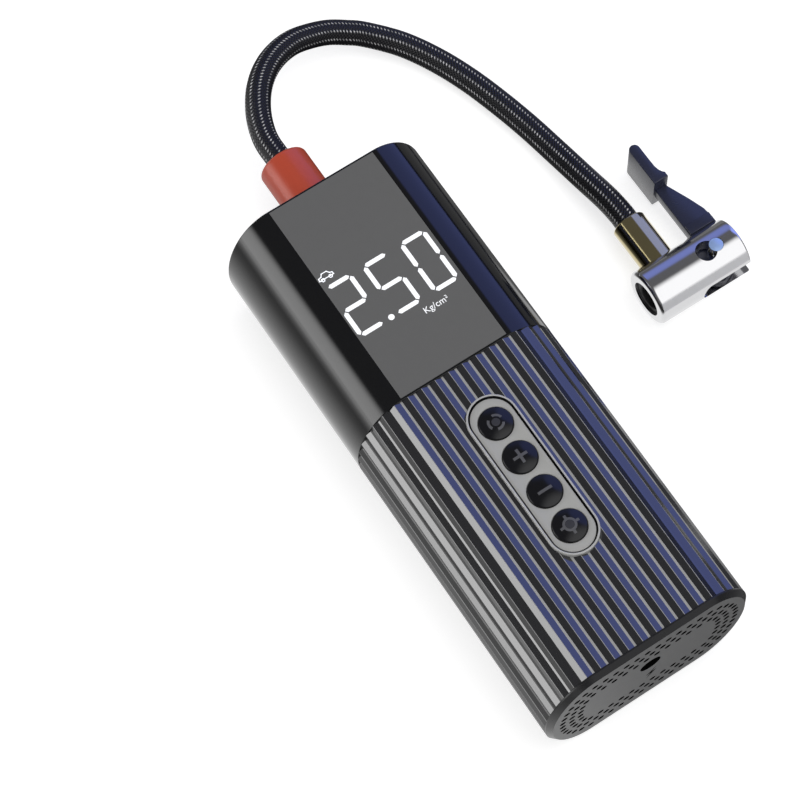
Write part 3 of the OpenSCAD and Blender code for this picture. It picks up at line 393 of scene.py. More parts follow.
def evaluated_mesh(piece):
    """A new mesh of what an object shows."""
    bpy.context.view_layer.update()
    return bpy.data.meshes.new_from_object(
        piece.evaluated_get(bpy.context.evaluated_depsgraph_get()))


def carve(piece, *cutters):
    """Cuts the closed meshes of cutters, given in millimetres, out of a piece."""
    tools = [placed("cutter", mesh_in_metres("cutter", bm)) for bm in cutters]
    for tool in tools:
        cut = piece.modifiers.new("cut", "BOOLEAN")
        cut.operation = "DIFFERENCE"
        cut.solver = "EXACT"
        cut.object = tool
    carved = evaluated_mesh(piece)
    piece.modifiers.clear()
    piece.data = carved
    for tool in tools:
        bpy.data.objects.remove(tool)
    piece.data.shade_smooth()
    piece.data.set_sharp_from_angle(angle=radians(32))
    evened = piece.modifiers.new("even_shading", "WEIGHTED_NORMAL")
    evened.keep_sharp = True
    return piece


def block(x, y, z):
    """A box between pairs of coordinates."""
    bm = bmesh.new()
    bmesh.ops.create_cube(bm, size=1)
    bmesh.ops.scale(bm, vec=[pair[1] - pair[0] for pair in (x, y, z)], verts=bm.verts)
    bmesh.ops.translate(bm, vec=[(pair[0] + pair[1]) / 2 for pair in (x, y, z)], verts=bm.verts)
    return bm


def rod(radius, start, end, at, axis, steps=64):
    """A plain closed cylinder between two places along an axis."""
    profile = [(0, start), (radius, start), (radius, end), (0, end)]
    return lathe(bmesh.new(), profile, at, axis, steps)


chuck_low, chuck_high = box_of("chuck_body")
chuck_r = chuck_high.z / 2
chuck_at = Vector((0, chuck_low.y + chuck_r, chuck_r))
chuck_x0, chuck_x1 = chuck_low.x, chuck_high.x
chrome = Finish("chrome_plate", (0.66, 0.66, 0.67), 0.10, metallic=1.0).grained(
    0.25, tint=0.02, wear=0.03, depth=0.0012, stretch=(1, 12, 12))
wall_steps = [chuck_x0 + WALL_FROM + WALL_STEP * k for k in range(31)]
chuck_profile = [
    (0, chuck_x0), (MOUTH_R, chuck_x0), (chuck_r - NOSE_ROUND, chuck_x0),
    *rounded(chuck_r - NOSE_ROUND, chuck_x0 + NOSE_ROUND, NOSE_ROUND, -90, 0, 8),
    *[(chuck_r, x) for x in wall_steps],
    *rounded(chuck_r - REAR_ROUND, chuck_x1 - REAR_ROUND, REAR_ROUND, 0, 90, 4), (0, chuck_x1),
]
chuck = finished_piece(
    "chuck_chrome_body", lathe(bmesh.new(), chuck_profile, chuck_at, "X", 160), chrome,
    stands_for=["chuck_body"],
)
port_x = ferrule_at.x
boss_bm = rod(ferrule_r, chuck_at.y, ferrule_low.y, (port_x, 0, chuck_r), "Y", TURNED_STEPS)
boss = finished_piece("chuck_hose_boss", boss_bm, turned_brass)
pivot_x = chuck_x0 + PIVOT_AT
mouth_x1 = box_of("chuck_nipple")[0].x - 0.2
carve(
    chuck,
    rod(MOUTH_R, chuck_x0 - 1, mouth_x1, chuck_at, "X"),
    rod(PLUNGER_BORE_R, mouth_x1 - 1, chuck_x0 + SLOT_FROM + 1, chuck_at, "X"),
    block((chuck_x0 + SLOT_FROM, chuck_x1 + 1), (chuck_at.y - PAST, chuck_at.y + PAST),
          (chuck_r - SLOT_HALF, chuck_r + SLOT_HALF)),
    rod(SLOT_HALF, chuck_at.y - PAST, chuck_at.y + PAST, (chuck_x0 + SLOT_FROM, 0, chuck_r), "Y"),
    rod(PEEP_R, chuck_r, 2 * chuck_r + 1, (chuck_x0 + PEEP_AT, chuck_at.y, 0), "Z"),
    rod(PIN_R, -1, 2 * chuck_r + 1, (pivot_x, chuck_at.y, 0), "Z"),
)

# ---- Valve seal, plunger and pin ----
# A black rubber ring grips the valve stem; the brass plunger behind it is pushed by the cam.
# The polished steel pin is pressed through the body; its end shows on top, coloured light blue as a
# painted reflection of the blue light above.
SEAL_BORE_R = 3.95
seal_low, seal_high = box_of("chuck_seal")
seal_rubber = Finish("seal_rubber", (0.012, 0.012, 0.013), 0.55).grained(0.3, tint=0.15, depth=0.01)
seal_profile = [
    (MOUTH_R, seal_low.x + 0.35), *rounded(MOUTH_R - 0.4, seal_low.x + 0.4, 0.4, 0, -90, 4),
    *rounded(SEAL_BORE_R + 0.5, seal_low.x + 0.5, 0.5, -90, -180, 4),
    (SEAL_BORE_R, seal_high.x - 0.4), (SEAL_BORE_R + 0.3, seal_high.x), (MOUTH_R, seal_high.x),
    (MOUTH_R, seal_low.x + 0.35),
]
seal = finished_piece(
    "valve_seal_ring", lathe(bmesh.new(), seal_profile, chuck_at, "X"), seal_rubber,
    stands_for=["chuck_seal"],
)
polished_steel = Finish("polished_steel", (0.66, 0.70, 0.78), 0.16, metallic=1.0).grained(
    0.2, tint=0.04, wear=0.04, depth=0.002)
pin_low, pin_high = box_of("lever_pin")
pin_profile = [
    (0, pin_low.z), (PIN_R - 0.3, pin_low.z), (PIN_R, pin_low.z + 0.3), (PIN_R, pin_high.z - 0.25),
    (PIN_R - 0.08, pin_high.z - 0.08), (PIN_R - 0.25, pin_high.z), (0, pin_high.z),
]
# Painted reflection: the pin's flat top is light blue for the blue sky it would mirror.
pin_top_painted_reflection = Finish("pin_top_painted_blue_reflection", (0.33, 0.47, 0.80), 0.3, metallic=0.3).grained(
    0.3, tint=0.06, wear=0.05, depth=0.002)
lever_pin = finished_piece(
    "lever_pivot_pin", lathe(bmesh.new(), pin_profile, (pivot_x, chuck_at.y, 0), "Z"), pin_top_painted_reflection,
    stands_for=["lever_pin"],
)
# The pin's flat ends keep the painted blue reflection; its sides take polished steel.
lever_pin.data.materials.append(polished_steel)
for side in lever_pin.data.polygons:
    side.material_index = 1 if abs(side.normal.z) < 0.9 else 0

# ---- Lever ----
# Die-cast arm with a cam round the pin and a tall thumb paddle across its end.
# Painted gloss black; the arm has a small step where it leaves the chuck.
LEVER_EDGE = 0.45
PADDLE_EDGE = 0.3
STEP_EDGE = 0.25
CAM_R = 5.0
GRIP_TRAVEL = 1.5
ARM_HALF = 2
ARM_POINTS = [(5, -4.2), (6.7, -1), (6.9, 3), (6.9, 10.5), (6.4, 14.2), (4.7, 19), (1.4, 27),
              (-2.3, 27), (-2.3, 4.6), (-4.4, 3)]
PADDLE_BACK = -3
PADDLE_FOOT = 26.7
PADDLE_END = 41
PADDLE_TIP_R = 1.7
PADDLE_FRONT = [(0.4, 34), (0.45, 31.5), (0.75, 30), (1.3, 28.9), (1.9, 28.3), (1.9, PADDLE_FOOT)]
STEP_POINTS = [(-2.0, 8.9), (6.6, 8.9), (6.6, 12.2), (-2.0, 12.2)]
STEP_RISE = 0.55
lever_low, lever_high = box_of("chuck_lever")
cam_points = []
for k in range(31):
    cam_reach = CAM_R + GRIP_TRAVEL * k / 30
    a = radians(180 + 3 * k)
    cam_points.append((cam_reach * cos(a), cam_reach * sin(a)))


def of_kind(geometry, kind):
    """The vertices, or the faces, of what an operator made."""
    return [item for item in geometry if isinstance(item, kind)]


def grow(bm, faces, step, keep=True):
    """Draws faces out by a step; where they are kept, they close the solid behind."""
    grown = bmesh.ops.extrude_face_region(bm, geom=faces, use_keep_orig=keep)["geom"]
    bmesh.ops.translate(bm, vec=step, verts=of_kind(grown, bmesh.types.BMVert))
    bmesh.ops.recalc_face_normals(bm, faces=bm.faces)


def round_edges(bm, edges, radius, segments):
    bmesh.ops.bevel(
        bm, geom=edges, offset=radius, segments=segments, profile=0.5, affect="EDGES", material=-1)


def plate(points, low, high, at, edge=0.0):
    """A flat plate with the outline of the points, drawn up along Z, its rims rounded by edge."""
    bm = bmesh.new()
    corners = [bm.verts.new((at[0] + x, at[1] + y, low)) for x, y in points]
    grow(bm, [bm.faces.new(corners)], (0, 0, high - low), keep=False)
    if edge:
        rims = [e for e in bm.edges if abs(e.verts[0].co.z - e.verts[1].co.z) < 1e-5]
        round_edges(bm, rims, edge, 3)
    return bm


lever_paint = Finish("lever_paint", (0.020, 0.023, 0.046), 0.27).grained(
    0.9, tint=0.10, wear=0.04, depth=0.0015)
lever_at = (pivot_x, chuck_at.y)
arm_bm = plate(
    cam_points + ARM_POINTS, chuck_r - ARM_HALF, chuck_r + ARM_HALF, lever_at, LEVER_EDGE)
paddle_points = [
    (PADDLE_BACK, PADDLE_FOOT),
    *rounded(PADDLE_BACK + PADDLE_TIP_R, PADDLE_END - PADDLE_TIP_R, PADDLE_TIP_R, 180, 0, 12),
    *PADDLE_FRONT,
]
paddle_bm = plate(paddle_points, lever_low.z, lever_high.z, lever_at, PADDLE_EDGE)
step_bm = plate(
    STEP_POINTS, chuck_r + ARM_HALF - 0.4, chuck_r + ARM_HALF + STEP_RISE, lever_at, STEP_EDGE)
lever = finished_piece(
    "thumb_lever", arm_bm, lever_paint, body="lever", stands_for=["chuck_lever"])
paddle = finished_piece("thumb_paddle", paddle_bm, lever_paint, body="lever")
arm_step = finished_piece("lever_step", step_bm, lever_paint, body="lever")

# ---- Casing head ----
# Injection moulded ABS shell with a high gloss black skin: flat front and back, half ellipses
# at the sides, a pocket for the display lens and a spigot that plugs into the ribbed sleeve.
FLAT_HALF = 17.75
WALL = 2.0
SPIGOT_OUT = 3.0
SPIGOT_IN = 4.6
SPIGOT_LENGTH = 6
ARC_STEPS = 64
END_ROUND = 0.5
JOINT_GROOVE = 0.25
POCKET_GAP = 0.1
head_low, head_high = box_of("head_shell")
lens_low, lens_high = box_of("display_lens")
casing_h = head_high.z
mid_z = casing_h / 2
side_rx = head_high.x - FLAT_HALF
side_rz = casing_h / 2
y_top = head_high.y
y_joint = head_low.y + SPIGOT_LENGTH


def casing_loop(bm, y, inset):
    """One closed loop of the casing's outline across Y; returns its edges."""
    before = set(bm.edges)
    ends = []
    for sign in (1, -1):
        centre = Vector((sign * FLAT_HALF, y, mid_z))
        start = bm.verts.new(centre + Vector((0, 0, sign * (side_rz - inset))))
        known = set(bm.verts)
        turned = bmesh.ops.spin(
            bm, geom=[start], cent=centre, axis=(0, 1, 0), angle=pi, steps=ARC_STEPS)
        arc = [start] + [v for v in bm.verts if v not in known]
        narrower = ((side_rx - inset) / (side_rz - inset), 1, 1)
        bmesh.ops.scale(bm, vec=narrower, space=Matrix.Translation(-centre), verts=arc)
        last = of_kind(turned["geom_last"], bmesh.types.BMVert)[0]
        ends.append((start, last))
    bm.edges.new((ends[0][1], ends[1][0]))
    bm.edges.new((ends[1][1], ends[0][0]))
    return [e for e in bm.edges if e not in before]


def join_loops(bm, loops):
    """Walls from each loop of edges to the next one."""
    for a, b in zip(loops, loops[1:]):
        bmesh.ops.bridge_loops(bm, edges=a + b)
    bmesh.ops.recalc_face_normals(bm, faces=bm.faces)


gloss_black = Finish("gloss_black_abs", (0.004, 0.004, 0.0043), 0.12).grained(
    1.6, tint=0.15, wear=0.02, depth=0.0008)
head_bm = bmesh.new()
head_loops = [casing_loop(head_bm, y, inset) for y, inset in (
    (head_low.y, SPIGOT_IN), (head_low.y, SPIGOT_OUT), (y_joint, SPIGOT_OUT),
    (y_joint, JOINT_GROOVE), (y_joint + 0.06, 0.06), (y_joint + 0.25, 0),
    (y_top - END_ROUND, 0), (y_top - END_ROUND * 0.62, END_ROUND * 0.08),
    (y_top - END_ROUND * 0.3, END_ROUND * 0.29), (y_top - END_ROUND * 0.08, END_ROUND * 0.62),
    (y_top, END_ROUND), (y_top, WALL), (y_joint + 2, WALL), (y_joint + 2, SPIGOT_IN),
)]
join_loops(head_bm, head_loops + head_loops[:1])
head = finished_piece(
    "casing_head", head_bm, gloss_black, stands_for=["head_shell"],
    soft_below=30)
carve(head, block(
    (lens_low.x - POCKET_GAP, lens_high.x + POCKET_GAP),
    (lens_low.y - POCKET_GAP, lens_high.y + POCKET_GAP), (lens_low.z, casing_h + 1)))

# ---- Display lens, digits and signs ----
# Smoked acrylic sheet bonded into the pocket, flush with the front; the digits light through it.
# The unit and the small car sign are screen printed on its face.
PRINT_T = 0.02
UNIT_SIZE = 2.75
UNIT_AT = (6.2, 31.4)
CAR_LINE = 0.3
CAR_AT = (-14.6, 55.8)
CAR_POINTS = [(-2.3, -0.5), (-2.2, 0.25), (-1.3, 0.45), (-0.7, 1.25), (0.9, 1.25), (1.5, 0.45),
              (2.2, 0.2), (2.3, -0.5)]
WHEEL_AT = (1.25, -0.65)
WHEEL_R = 0.5
WHEEL_LINE = 0.26
# The lens's mid grey is partly its smoked tint and partly a painted reflection of the light
# overhead.
smoked_lens_and_painted_reflection = Finish("smoked_lens_and_painted_reflection", (0.128, 0.128, 0.128), 0.2).grained(
    3.0, tint=0.03, wear=0.02, depth=0.001)
lit_white = Finish("lit_white", (0.90, 0.91, 0.93), 0.35)
lit_white.glow((0.93, 0.95, 1.0), 0.35)
lit_white = lit_white.grained(0.8, tint=0.02, depth=0.001)
dress("display_lens", smoked_lens_and_painted_reflection)
dress("display_digits", lit_white)


text = bpy.data.curves.new("unit_print", "FONT")
text.body = "Kg/cm²"
text.size = UNIT_SIZE * MM
text.align_x = text.align_y = "CENTER"
text.extrude = PRINT_T * MM / 2
text.resolution_u = 6
typeset = placed("typeset_unit", text)
unit_mesh = evaluated_mesh(typeset)
bpy.data.objects.remove(typeset)
unit_place = (*UNIT_AT, lens_high.z + PRINT_T / 2)
unit_mesh.transform(Matrix.Translation([v * MM for v in unit_place]))
unit_mesh.materials.clear()
unit_mesh.materials.append(lit_white)
unit = placed("unit_print", unit_mesh)
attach(unit, "casing")


def stroke(bm, points, width):
    """A thin printed line of some width round the points, on the lens."""
    for a, b in zip(points, points[1:] + points[:1]):
        a, b = Vector(a), Vector(b)
        along = (b - a).normalized() * width * 0.4
        side = Vector((-along.y, along.x)) * 1.25
        corners = [a - along - side, b + along - side, b + along + side, a - along + side]
        ends = [[bm.verts.new((p.x, p.y, lens_high.z + lift)) for p in corners]
                for lift in (0.001, PRINT_T)]
        bm.faces.new(ends[1])
        bm.faces.new(list(reversed(ends[0])))
        for k in range(4):
            bm.faces.new((ends[0][k], ends[0][(k + 1) % 4], ends[1][(k + 1) % 4], ends[1][k]))


car_bm = bmesh.new()
stroke(car_bm, CAR_POINTS, CAR_LINE)
for wheel_x in (-WHEEL_AT[0], WHEEL_AT[0]):
    stroke(car_bm, rounded(wheel_x, WHEEL_AT[1], WHEEL_R, 0, 300, 5), WHEEL_LINE)
bmesh.ops.translate(car_bm, vec=(*CAR_AT, 0), verts=car_bm.verts)
finished_piece("car_sign_print", car_bm, lit_white)

# ---- Top cap and lamp ----
# Gloss black end plate pressed into the head, with the collar's hole and the work lamp.
# The lamp has a clear lens over one white LED on a small board.
satin_black = Finish("satin_black_abs", (0.012, 0.012, 0.013), 0.32).grained(
    0.35, tint=0.12, depth=0.012)
clear_acrylic = Finish("clear_acrylic", (0.86, 0.88, 0.90), 0.12)
clear_acrylic.set("Transmission Weight", 0.6)
dress("top_cap", satin_black)
dress("lamp_lens", clear_acrylic.grained(1.2, tint=0.03, wear=0.03, depth=0.004))

# ---- Ribbed sleeve ----
# Grip sleeve moulded in one piece with 44 sharp ridges round it and a window for the keys.
# Its polished black skin mirrors the room along every slope; its flat roots and crests are coloured
# light grey as painted highlights.
RIB_COUNT = 44
RIB_H = 0.64
RIB_FLOOR = 0.68
CREST_HALF = 0.08
SLEEVE_IN = 2.9
FLAT_FACING = 0.93
sleeve_low, sleeve_high = box_of("ribbed_sleeve")


def outline_points(inset, steps=400):
    """The right half of the outline as (x, z - mid_z) points, from front middle to back middle."""
    points = [(0.0, side_rz - inset)]
    for k in range(steps + 1):
        a = radians(90 - 180 * k / steps)
        normal = Vector((cos(a) / side_rx, sin(a) / side_rz)).normalized()
        points.append((FLAT_HALF + side_rx * cos(a) - inset * normal.x,
                       side_rz * sin(a) - inset * normal.y))
    return points + [(0.0, inset - side_rz)]


def line_lengths(points):
    """The running length at each point of a line."""
    lengths = [0.0]
    for a, b in zip(points, points[1:]):
        lengths.append(lengths[-1] + (Vector(b) - Vector(a)).length)
    return lengths


def point_along(points, share):
    """The point at a share of the running length of a line of points."""
    lengths = line_lengths(points)
    wanted = min(max(share, 0), 1) * lengths[-1]
    for i, reached in enumerate(lengths[1:]):
        if reached >= wanted - 1e-9:
            part = (wanted - lengths[i]) / max(reached - lengths[i], 1e-9)
            return Vector(points[i]).lerp(Vector(points[i + 1]), part)
    return Vector(points[-1])


def rib_outline():
    """The whole ribbed outline, one crest and one flat floor for each rib."""
    crest_line = outline_points(0)
    half_length = line_lengths(crest_line)[-1]
    pitch = 2 * half_length / RIB_COUNT
    right = []
    for k in range(RIB_COUNT // 2):
        for place, depth in (
            (RIB_FLOOR / 2, RIB_H), (pitch / 2 - CREST_HALF, 0), (pitch / 2 + CREST_HALF, 0),
            (pitch - RIB_FLOOR / 2, RIB_H),
        ):
            share = (k * pitch + place) / half_length
            onward = point_along(crest_line, share + 0.001) - point_along(crest_line, share - 0.001)
            inward = Vector((onward.y, -onward.x)).normalized()
            right.append(point_along(crest_line, share) + depth * inward)
    return right + [Vector((-p.x, p.y)) for p in reversed(right)]


def edge_loop(bm, points):
    """Edges round a closed line of points."""
    verts = [bm.verts.new(p) for p in points]
    return [bm.edges.new(pair) for pair in zip(verts, verts[1:] + verts[:1])]


def fill(bm, edges):
    """Faces between flat loops of edges; a loop inside another one stays open."""
    made = bmesh.ops.triangle_fill(bm, edges=edges, use_beauty=True, use_dissolve=False)["geom"]
    return of_kind(made, bmesh.types.BMFace)


sleeve_bm = bmesh.new()
rib_edges = edge_loop(sleeve_bm, [(p.x, sleeve_low.y, p.y + mid_z) for p in rib_outline()])
inner_edges = casing_loop(sleeve_bm, sleeve_low.y, SLEEVE_IN)
grow(sleeve_bm, fill(sleeve_bm, rib_edges + inner_edges), (0, sleeve_high.y - sleeve_low.y, 0))
# Narrow faces that face straight out, the flat roots and crests, get the second material, a light
# grey painted highlight.
for face in sleeve_bm.faces:
    middle = face.calc_center_median()
    outward = Vector((middle.x - max(-FLAT_HALF, min(FLAT_HALF, middle.x)), 0, middle.z - mid_z))
    across, up = (
        max(v.co[i] for v in face.verts) - min(v.co[i] for v in face.verts) for i in (0, 2))
    narrow = sqrt(across ** 2 + up ** 2) < 1.1 * RIB_FLOOR
    faces_out = abs(face.normal.z) > FLAT_FACING and face.normal.dot(outward) > 0
    face.material_index = 1 if narrow and faces_out else 0
rib_plastic = Finish("polished_rib_plastic", (0.010, 0.010, 0.011), 0.12, ior=1.95).grained(
    1.2, tint=0.1, wear=0.03, depth=0.003)
# Painted highlight: light grey satin on the roots and crests of the black ribs.
root_highlight_paint = Finish("rib_root_painted_highlight", (0.33, 0.33, 0.325), 0.4).grained(
    0.8, tint=0.14, wear=0.05, depth=0.002)
sleeve = finished_piece(
    "ribbed_grip", sleeve_bm, rib_plastic, stands_for=["ribbed_sleeve"],
    soft_below=12)
sleeve.data.materials.append(root_highlight_paint)

# ---- Ring and panel round the keys ----
# A silver plated ring with a raised rim clips into the sleeve from inside; the satin grey
# panel inside it has one round hole for each key.
BEZEL_R = 7.45
BEZEL_WALL = 0.62
BEZEL_FLANGE = 1.15
BEZEL_LEDGE = 1.45
BEZEL_FOOT = 1.9
HOLE_R = 5.0
PANEL_EDGE = 0.15
ring_top = box_of("button_bezel")[1].z
panel_low, panel_high = box_of("button_panel")
panel_r = panel_high.x
key_names = ["button_mode", "button_plus", "button_minus", "button_light"]
key_ys = [sum(corner.y for corner in box_of(name)) / 2 for name in key_names]
stadium_y1 = panel_high.y - panel_r
stadium_y0 = panel_low.y + panel_r


def stadium_points(radius, steps=32):
    """Outline of the long ring, round at both ends."""
    top = rounded(0, stadium_y1, radius, 0, 180, steps)
    foot = [(-x, stadium_y0 + stadium_y1 - y) for x, y in top]
    return top + foot


front_in = casing_h - SLEEVE_IN
carve(sleeve, plate(stadium_points(BEZEL_R + 0.05), front_in - 1, casing_h + 1, (0, 0)))
sleeve.data.set_sharp_from_angle(angle=radians(12))

silver_plate = Finish("satin_silver_plate", (0.46, 0.46, 0.45), 0.42, metallic=0.2).grained(
    0.4, tint=0.04, wear=0.05, depth=0.002)
# Painted shade: the silver ring's inner wall is coloured black for the shade in the gap round the
# panel.
ring_gap_shade_paint = Finish("ring_inner_painted_shade", (0.006, 0.006, 0.007), 0.2).grained(
    0.5, tint=0.1, depth=0.002)
ring_in = BEZEL_R - BEZEL_WALL
ring_foot = panel_low.z - BEZEL_FOOT
ring_section = [
    (BEZEL_R - BEZEL_LEDGE, ring_foot), (BEZEL_R + BEZEL_FLANGE, ring_foot),
    (BEZEL_R + BEZEL_FLANGE, front_in), (BEZEL_R, front_in), (BEZEL_R, ring_top - 0.25),
    (BEZEL_R - 0.08, ring_top - 0.08), (BEZEL_R - 0.2, ring_top), (ring_in + 0.12, ring_top),
    (ring_in + 0.03, ring_top - 0.05), (ring_in, ring_top - 0.15), (ring_in - 0.05, panel_low.z),
    (BEZEL_R - BEZEL_LEDGE, panel_low.z),
]
ring_bm = bmesh.new()
ring_loops = [edge_loop(ring_bm, [(x, y, z) for x, y in stadium_points(radius)])
              for radius, z in ring_section]
join_loops(ring_bm, ring_loops + ring_loops[:1])
# Faces of the ring's inner wall take the second material, the black painted shade.
for face in ring_bm.faces:
    x, y, _ = face.calc_center_median()
    beyond = max(abs(y - (stadium_y0 + stadium_y1) / 2) - (stadium_y1 - stadium_y0) / 2, 0)
    face.material_index = 1 if sqrt(x * x + beyond ** 2) < ring_in + 0.02 else 0
ring = finished_piece(
    "key_ring", ring_bm, silver_plate, stands_for=["button_bezel"])
ring.data.materials.append(ring_gap_shade_paint)

satin_grey = Finish("satin_grey_panel", (0.385, 0.385, 0.372), 0.48, metallic=0.05).grained(
    0.3, tint=0.06, wear=0.04, depth=0.006)


def circle_edges(bm, radius, segments, at):
    """The edges of a circle, laid as its matrix says."""
    circle = bmesh.ops.create_circle(bm, radius=radius, segments=segments, matrix=at)
    return list(dict.fromkeys(e for v in circle["verts"] for e in v.link_edges))


panel_bm = bmesh.new()
panel_edges = edge_loop(panel_bm, [(x, y, panel_low.z) for x, y in stadium_points(panel_r)])
for y in key_ys:
    panel_edges += circle_edges(panel_bm, HOLE_R, 64, Matrix.Translation((0, y, panel_low.z)))
grow(panel_bm, fill(panel_bm, panel_edges), (0, 0, panel_high.z - panel_low.z))
rims = [e for e in panel_bm.edges if e.calc_face_angle(0) > radians(60)
        and min(v.co.z for v in e.verts) > panel_high.z - 0.01]
round_edges(panel_bm, rims, PANEL_EDGE, 2)
finished_piece(
    "key_panel", panel_bm, satin_grey, stands_for=["button_panel"])

# ---- Keys ----
# Four keys moulded in gloss black with a crowned face, each with a flange that keeps it in
# and a foot on its switch. A grey sign is printed on each crown.
KEY_R = 4.85
KEY_CROWN = 0.8
KEY_EDGE = 0.3
KEY_FOOT = 0.9
KEY_FOOT_R = 1.8
KEY_FLANGE = 0.85
FLANGE_T = 0.9
SIGN_LIFT = 0.015
SIGN_REACH = 2.2
SIGN_WIDTH = 0.85
ARC_R = 2.1
ARC_WIDTH = 0.75
ARC_MIDDLES = (52, 172, 292)
ARC_HALF = 38
dome_r = (KEY_R ** 2 + KEY_CROWN ** 2) / (2 * KEY_CROWN)
sign_grey = Finish("printed_sign_grey", (0.075, 0.075, 0.082), 0.45).grained(
    0.3, tint=0.1, depth=0.002)
sign_faint = Finish("printed_sign_faint", (0.026, 0.026, 0.030), 0.45).grained(
    0.3, tint=0.1, depth=0.002)
key_gloss = Finish("key_gloss_black", (0.005, 0.005, 0.006), 0.16, ior=1.4).grained(
    1.0, tint=0.1, wear=0.02, depth=0.001)
key_low, key_high = box_of("button_mode")
key_top = key_high.z


def crown_height(r):
    """Height of the crowned face at a distance from the key's middle."""
    return key_top - dome_r + sqrt(dome_r ** 2 - r * r)


def ring_sign(bm, radius, width, start, end, steps=28):
    """Part of a flat ring that follows the crown, from a start to an end angle in degrees."""
    rows = []
    for k in range(steps + 1):
        a = radians(start + (end - start) * k / steps)
        rows.append([(r * cos(a), r * sin(a)) for r in (radius - width / 2, radius + width / 2)])
    strip_sign(bm, rows)


def bar_sign(bm, start, end, width, steps=10):
    """A straight bar that follows the crown."""
    a, b = Vector(start), Vector(end)
    side = (b - a).normalized().orthogonal() * width / 2
    middles = [a.lerp(b, k / steps) for k in range(steps + 1)]
    strip_sign(bm, [[m - side, m + side] for m in middles])


def strip_sign(bm, rows):
    """A thin printed strip between two lines of points, laid on the crown."""
    lines = [[bm.verts.new((x, y, crown_height(sqrt(x * x + y * y)) + SIGN_LIFT)) for x, y in row]
             for row in rows]
    for a, b in zip(lines, lines[1:]):
        bm.faces.new((a[0], a[1], b[1], b[0]))


def sign_mode(bm):
    for middle in ARC_MIDDLES:
        ring_sign(bm, ARC_R, ARC_WIDTH, middle - ARC_HALF, middle + ARC_HALF)


def sign_minus(bm):
    bar_sign(bm, (-SIGN_REACH, 0), (SIGN_REACH, 0), SIGN_WIDTH)


def sign_plus(bm):
    sign_minus(bm)
    bar_sign(bm, (0, -SIGN_REACH), (0, -0.43), SIGN_WIDTH)
    bar_sign(bm, (0, 0.43), (0, SIGN_REACH), SIGN_WIDTH)


def sign_light(bm):
    ring_sign(bm, 1.65, 0.75, 0, 360, 40)
    for x, y in ((1, 0), (0, 1), (-1, 0), (0, -1)):
        bar_sign(bm, (2.0 * x, 2.0 * y), (2.95 * x, 2.95 * y), 0.8, 4)


def sign_middle(bm):
    ring_sign(bm, 0.6, 1.2, 0, 360)


def lay_sign(piece_name, draw, y, ink, body):
    """Draws a sign on the crown of the key at y and prints it in an ink."""
    bm = bmesh.new()
    draw(bm)
    bmesh.ops.remove_doubles(bm, verts=bm.verts, dist=1e-4)
    bmesh.ops.recalc_face_normals(bm, faces=bm.faces)
    if sum(f.normal.z for f in bm.faces) < 0:
        bmesh.ops.reverse_faces(bm, faces=bm.faces)
    bmesh.ops.translate(bm, vec=(0, y, 0), verts=bm.verts)
    finished_piece(piece_name, bm, ink, body=body)


# Half the section of a key: foot, flange, straight side and crown.
flange_z0 = key_low.z + KEY_FOOT
shoulder = crown_height(KEY_R - KEY_EDGE) - KEY_EDGE * 0.9
crown = [(KEY_R - KEY_EDGE) * (1 - k / 14) for k in range(14)]
key_profile = [
    (0, key_low.z), (KEY_FOOT_R, key_low.z), (KEY_FOOT_R, flange_z0),
    (KEY_R + KEY_FLANGE, flange_z0), (KEY_R + KEY_FLANGE, flange_z0 + FLANGE_T),
    (KEY_R, flange_z0 + FLANGE_T),
    (KEY_R, shoulder - 0.1), (KEY_R - 0.03, shoulder + 0.05), (KEY_R - 0.12, shoulder + 0.17),
    *[(r, crown_height(r)) for r in crown], (0, key_top),
]
KEY_SIGNS = {"mode": sign_mode, "plus": sign_plus, "minus": sign_minus, "light": sign_light}
for (sign_name, draw_sign), y in zip(KEY_SIGNS.items(), key_ys):
    finished_piece(
        "key_cap_" + sign_name, lathe(bmesh.new(), key_profile, (0, y, 0), "Z", 80), key_gloss,
        body="key_" + sign_name, stands_for=["button_" + sign_name])
    lay_sign("key_sign_" + sign_name, draw_sign, y, sign_grey, "key_" + sign_name)
    if draw_sign in (sign_mode, sign_light):
        lay_sign("key_middle_" + sign_name, sign_middle, y, sign_faint, "key_" + sign_name)

# ---- Bottom cap ----
# Matte grey end cap with a chamfered rim, three rows of vents and the charging hole.
# It plugs into the sleeve with a spigot of its own.
CAP_CHAMFER = 1.5
CAP_SPIGOT = 4
VENT_R = 1.0
VENT_PITCH = 3.3
VENT_ROWS = [(4.6, 6.2, 0.5), (7.6, 9.4, 0.0), (10.4, 12.6, 0.5)]
VENT_SEGMENTS = 14
RIM_DEPTH = 0.5
PORT_R = 3.3
PORT_Z = mid_z + 5
BOLT_SIGN = [(1.6, 3.2), (-1.6, -0.5), (-0.1, -0.5), (-1.5, -3.2), (1.7, 0.6), (0.2, 0.6)]
BOLT_AT = (0.8, mid_z - 3.9)
cap_low, cap_high = box_of("bottom_cap")
cap_in = cap_high.y - CAP_SPIGOT
face_y = cap_low.y + PRINT_T
cap_grey = Finish("matte_grey_cap", (0.225, 0.225, 0.226), 0.55).grained(
    0.25, tint=0.08, wear=0.04, depth=0.02)


def vent_row(side_in, front_in_by, shift):
    """Vents along one row, evenly spaced on the right half and mirrored to the left."""
    line = [(0.0, side_rz - front_in_by)]
    for k in range(121):
        a = radians(90 - 1.5 * k)
        line.append((FLAT_HALF + (side_rx - side_in) * cos(a), (side_rz - front_in_by) * sin(a)))
    line.append((0.0, front_in_by - side_rz))
    count = int(line_lengths(line)[-1] / VENT_PITCH)
    last_one = count - 1 if shift else count
    right = [point_along(line, (k + shift) / count) for k in range(last_one + 1)]
    return right + [Vector((-p.x, p.y)) for p in right if p.x > 0.01]


def casing_depth(point):
    """About how far a point lies inside the casing's outline."""
    across = max(abs(point.x) - FLAT_HALF, 0) / side_rx
    return (1 - sqrt(across ** 2 + ((point.z - mid_z) / side_rz) ** 2)) * side_rx


